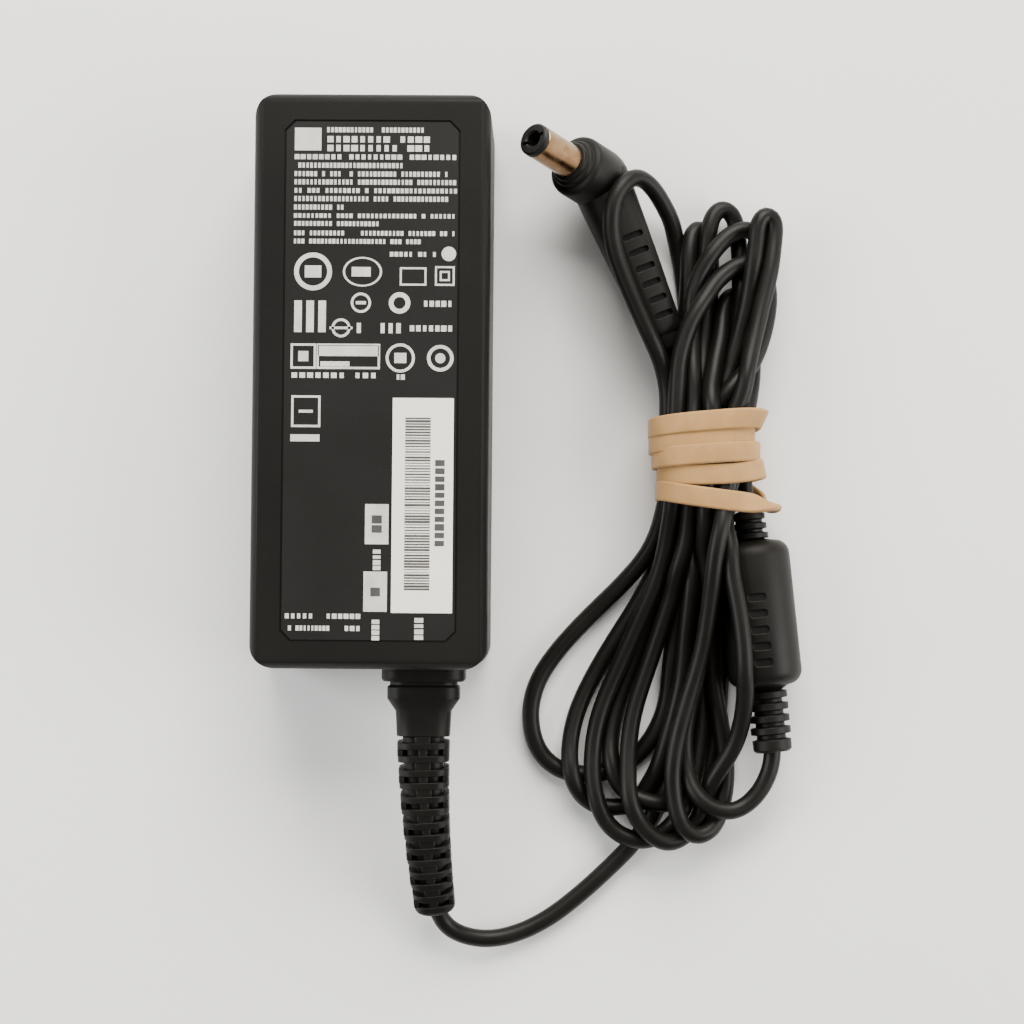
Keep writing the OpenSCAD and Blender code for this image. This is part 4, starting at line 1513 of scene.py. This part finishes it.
@dataclass(frozen=True)
class FerriteHousing:
    """The moulded ferrite housing with a ringed relief at each end.

    Args:
        line: where it lies.
        r: radius of the body.
        shoulder: rounding of the body's ends.
        marks: number of sunk marks along each side.
        first_mark: the first mark's place along the body, from its middle.
        mark_pitch: distance between marks.
        mark: width, height and corner radius of a mark.
    """

    line: FerriteLine = FerriteLine()
    r: float = 6.1
    shoulder: float = 2.4
    marks: int = 5
    first_mark: float = -2.7
    mark_pitch: float = 2.65
    mark: Point = (3.0, 1.3, 0.6)

    def build(self, palette: Palette) -> bpy.types.Object:
        """Draws the housing."""
        half = self.line.half
        place = facing(Vector(self.line.at), self.line.along())
        draft = Draft()
        draft.turned(self._profile(half), place, 56)
        piece = draft.finish("ferrite_housing_detail", palette["relief_rubber"], 40)
        cutter = Draft()
        pill = rounded_outline(*self.mark, 5)
        flat = Matrix.Rotation(math.radians(-90), 4, "X")
        for i in range(self.marks):
            mid = self.first_mark + self.mark_pitch * i
            for lift in (self.r - 0.45, -self.r - 1.0):
                base = place @ Matrix.Translation((-0.4, lift, mid)) @ flat
                cutter.prism(pill, base, base @ Matrix.Translation((0, 0, 1.45)))
        carve(piece, cutter, 40)
        soften(piece, 0.12)
        return piece

    def _profile(self, half: float) -> list[tuple[float, float]]:
        """The (z, r) pairs of the housing and its reliefs, from the band's end to the loops' end."""
        upper = -half - self.line.upper
        profile = [(upper, 2.0)]
        for i in range(3):
            z = upper + 0.25 + 1.6 * i
            profile += [(z, 2.2), (z + 0.15, 2.75 + 0.12 * i), (z + 1.0, 2.75 + 0.12 * i), (z + 1.15, 2.2)]
        profile += self._shoulder(-half, 1) + self._shoulder(half, -1)
        for i in range(4):
            z = half + 0.75 + 1.95 * i
            profile += [(z, 2.4), (z + 0.15, 3.3), (z + 1.2, 3.3), (z + 1.35, 2.4)]
        end = half + self.line.lower
        profile += [(end - 2.2, 2.4), (end - 2.0, 3.2), (end - 0.4, 3.15), (end, 2.7)]
        return profile

    def _shoulder(self, at: float, way: int) -> list[tuple[float, float]]:
        """The rounded end of the body, going into it when way is 1 and out of it when way is -1."""
        arc = []
        for i in range(7):
            a = math.radians(90 * i / 6)
            drop = self.shoulder * (1 - math.sin(a))
            arc.append((at + way * self.shoulder * (1 - math.cos(a)), self.r - drop))
        return arc if way > 0 else arc[::-1]


@dataclass(frozen=True)
class BandTurn:
    """The upper half of one turn of the rubber band.

    Args:
        left: X and Y of its left end.
        right: X and Y of its right end.
        sag: how far its middle bows along Y.
        depth: how far each end lies inside the outermost turns.
        roll: how far it rolls over near its right end, in degrees.
        layers: bands that lie between the next run under the hank and the surface.
    """

    left: tuple[float, float]
    right: tuple[float, float]
    sag: float = 0.0
    depth: tuple[float, float] = (0.0, 0.0)
    roll: float = 0.0
    layers: int = 0


@dataclass(frozen=True)
class RubberBand:
    """The flat rubber band, wound round the hank.

    Args:
        low: height of its lowest runs, to the middle of the rubber.
        high: height of its highest runs.
        width: the rubber's width.
        thick: the rubber's thickness.
        steps: points in each half turn.
        turns: the turns in order.
    """

    low: float = 0.62
    high: float = 14.5
    width: float = 3.3
    thick: float = 0.95
    steps: int = 44
    turns: tuple[BandTurn, ...] = (
        BandTurn((44.9, -6.2), (63.1, -4.5), 0.2, (0.0, 0.0), 26.0),
        BandTurn((44.9, -8.8), (62.2, -7.4), 0.1, (0.1, 0.8), 0.0, 1),
        BandTurn((45.5, -11.2), (62.3, -9.9), 0.1),
        BandTurn((45.4, -13.1), (63.4, -12.6), -0.95, (0.95, 0.3), -14.0, 1),
        BandTurn((46.1, -16.3), (64.7, -18.6), -0.35, (0.0, 0.0), -72.0, 2),
    )

    def build(self, palette: Palette) -> bpy.types.Object:
        """Draws the band."""
        line = self._line()
        count = len(line)
        draft = Draft()
        outline = rounded_outline(self.width, self.thick, 0.36, 4)
        rings = []
        for i, (point, outward, roll) in enumerate(line):
            ahead = (line[(i + 1) % count][0] - line[i - 1][0]).normalized()
            out = (outward - ahead * outward.dot(ahead)).normalized()
            wide = out.cross(ahead).normalized()
            axes = Matrix((wide, out, wide.cross(out))).transposed().to_4x4()
            place = Matrix.Translation(point) @ axes @ Matrix.Rotation(math.radians(roll), 4, "Z")
            rings.append(draft.ring(outline, place))
        draft.skin(rings, closed=True)
        return draft.finish("rubber_band_detail", palette["band_rubber"], 50)

    def _line(self) -> list[tuple[Vector, Vector, float]]:
        """Points of the band's middle line, each with the way out of the hank and the band's roll."""
        line = []
        for k, turn in enumerate(self.turns):
            after = self.turns[(k + 1) % len(self.turns)]
            for i in range(self.steps):
                share = i / self.steps
                roll = self._roll(turn, share)
                line.append(self._spot(turn.left, turn.right, turn.depth, share, 1, turn.sag, 0, roll))
            depth = (turn.depth[1], after.depth[0])
            lift = self.thick * turn.layers
            for i in range(self.steps):
                share = i / self.steps
                roll = self._roll(turn, 1 + share)
                line.append(self._spot(turn.right, after.left, depth, share, -1, 0, lift, roll))
        return line

    def _spot(
        self, start: tuple[float, float], end: tuple[float, float], depth: tuple[float, float], share: float,
        side: int, sag: float, lift: float, roll: float,
    ) -> tuple[Vector, Vector, float]:
        """A point of a half turn over the hank when side is 1 and under it when side is -1."""
        a = math.pi * share
        c, s = -side * math.cos(a), math.sin(a)
        across = math.copysign(abs(c) ** (2 / 3), c)
        ease = (1 + side * across) / 2
        inside = depth[0] + (depth[1] - depth[0]) * share
        left, right = (start[0], end[0]) if side > 0 else (end[0], start[0])
        half = (right - left) / 2 - inside
        mid = (self.low + self.high) / 2
        high = (self.high - self.low) / 2 - inside - lift * s
        point = Vector((
            (left + right) / 2 + half * across,
            start[1] + (end[1] - start[1]) * ease + sag * s * s,
            mid + side * high * s ** (2 / 3),
        ))
        return point, Vector((c, 0, side * s)), roll

    @staticmethod
    def _roll(turn: BandTurn, share: float) -> float:
        """How far the band is rolled over, share of a half turn from its left end, in degrees."""
        reach = max(0.0, 1 - abs(share - 0.92) / 0.42)
        return turn.roll * reach * reach * (3 - 2 * reach)


@dataclass(frozen=True)
class Plug:
    """The angled barrel plug.

    Args:
        line: where the barrel, the head and the neck lie.
        barrel_r: radius of the barrel.
        barrel_l: length of the bare barrel.
        tip: how far the tip reaches.
        hole_r: radius of the hole in the tip.
        head_r: radius of the head.
        head_l: length of the head.
        wall: thickness of the barrel's wall.
        grooves: number of grooves across the neck.
    """

    line: PlugLine = PlugLine()
    barrel_r: float = 2.75
    barrel_l: float = 8.6
    tip: float = 9.55
    hole_r: float = 1.25
    head_r: float = 5.15
    head_l: float = 11.2
    wall: float = 0.35
    grooves: int = 6

    def build(self, palette: Palette) -> list[bpy.types.Object]:
        """Draws the body, the barrel and the tip.

        Args:
            palette: the materials.

        Returns:
            The three pieces.
        """
        place = self.line.barrel_frame()
        barrel = Draft()
        r, end = self.barrel_r, self.barrel_l
        inner = r - self.wall
        barrel.tube([(-2.0, inner), (-2.0, r), (end - 0.1, r), (end, r - 0.1), (end, inner)], place, 64)
        tip = Draft()
        tip.tube(
            [(-1.8, self.hole_r), (-1.8, inner - 0.03), (end + 0.03, inner - 0.03), (end + 0.03, r - 0.05),
             (self.tip - 0.3, r - 0.05), (self.tip, r - 0.35), (self.tip, self.hole_r + 0.25),
             (self.tip - 0.25, self.hole_r)],
            place, 64,
        )
        insulator = tip.finish("plug_tip_detail", palette["tip_plastic"], 35)
        slots = Draft()
        turn = place @ Matrix.Rotation(math.radians(40), 4, "Z")
        for near, far in ((-2.1, -1.0), (1.0, 2.1)):
            slots.block((near, -0.28, self.tip - 1.2), (far, 0.28, self.tip + 1), turn)
        carve(insulator, slots)
        body = self._body(palette, place)
        sleeve = barrel.finish("plug_barrel_detail", palette["plug_metal"], 35)
        return [
            register(body, "relief_rubber", "plug_body"),
            register(sleeve, "plug_metal", "plug_barrel"),
            register(insulator, "tip_plastic", "plug_insulator"),
        ]

    def _body(self, palette: Palette, place: Matrix) -> bpy.types.Object:
        """Draws the moulded head and neck."""
        head = Draft()
        r = self.head_r
        back = -self.head_l
        head.turned(
            [(back, 3.2), (back + 0.5, 4.2), (back + 1.6, 4.9), (back + 3.0, r), (-2.6, r), (-2.1, r - 0.12),
             (-1.75, r - 0.45), (-1.6, r - 0.95), (-1.55, 4.0), (-1.2, 3.95), (-0.9, 3.85), (-0.75, 3.6),
             (-0.7, 3.35), (-0.25, 3.3), (-0.05, 3.15), (0, 2.9)],
            place, 64,
        )
        start, run = Vector(self.line.neck_start), self.line.neck()
        sections = (
            (-0.04, 9.0, 8.8), (0.0, 9.6, 9.6), (0.15, 9.2, 9.0), (0.35, 8.6, 8.0), (0.6, 7.8, 7.2),
            (0.85, 6.9, 6.4), (0.97, 6.5, 6.0), (1.0, 6.1, 5.6), (1.015, 5.2, 4.9), (1.08, 4.9, 4.6),
            (1.1, 4.2, 4.0),
        )
        rings = []
        for t, w, h in sections:
            outline = rounded_outline(w, h, min(w, h) * 0.42, 7)
            rings.append(head.ring(outline, facing(start + run * t, run, roll=-14)))
        head.skin(rings)
        piece = head.finish("plug_body_detail", palette["relief_rubber"], 38)
        cutter = Draft()
        for k in range(self.grooves):
            t = 0.40 + 0.1 * k
            h = 7.95 - 1.9 * (t - 0.35) / 0.6
            spot = facing(start + run * t, run, roll=-14) @ Matrix.Translation((0.3, h / 2 - 0.9, 0))
            wide = 3.7 - 0.12 * k
            pill = rounded_outline(wide, 0.95, 0.3, 3)
            base = spot @ Matrix.Rotation(math.radians(-90), 4, "X")
            cutter.prism(pill, base, base @ Matrix.Translation((0, 0, 2.5)))
        carve(piece, cutter, 38)
        soften(piece, 0.1)
        return piece


def dress(palette: Palette) -> None:
    """Gives every CAD node the finish of its material slot."""
    for part in frame["record"]["subparts"]:
        node = frame["nodes"][part["node"]]
        node.data.materials.clear()
        node.data.materials.append(palette[part["material_slot"]])
    log.info("dressed %d nodes", len(frame["record"]["subparts"]))


def main() -> None:
    """Builds the scene."""
    logging.basicConfig(level=logging.INFO, format="%(message)s")
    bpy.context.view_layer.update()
    Studio().build()
    palette = Palette()
    output_cord = OutputCord()
    cord = output_cord.build(palette)
    dress(palette)
    rows = MarkRow()
    for node, name in (("label_side_shell", "case_upper"), ("table_side_shell", "case_lower")):
        register(merged_copy(node, name, palette["case_plastic"], seam=Seam()), "case_plastic", node)
    for node, name, slot in (
        ("inlet_housing", "inlet_block", "inlet_plastic"), ("inlet_pins", "inlet_contacts", "bright_pins")
    ):
        register(merged_copy(node, name, palette[slot]), slot, node)
    Label().build(palette, rows)
    register(StrainRelief().build(palette), "relief_rubber", "strain_relief")
    ferrite = register(FerriteHousing().build(palette), "relief_rubber", "ferrite_housing")
    band = register(RubberBand().build(palette), "band_rubber", "rubber_band")
    plug = Plug().build(palette)
    inner = [frame["nodes"][name] for name in ("ferrite_core", "plug_contact")]
    output_cord.declare(cord)


if __name__ == "__main__":
    main()
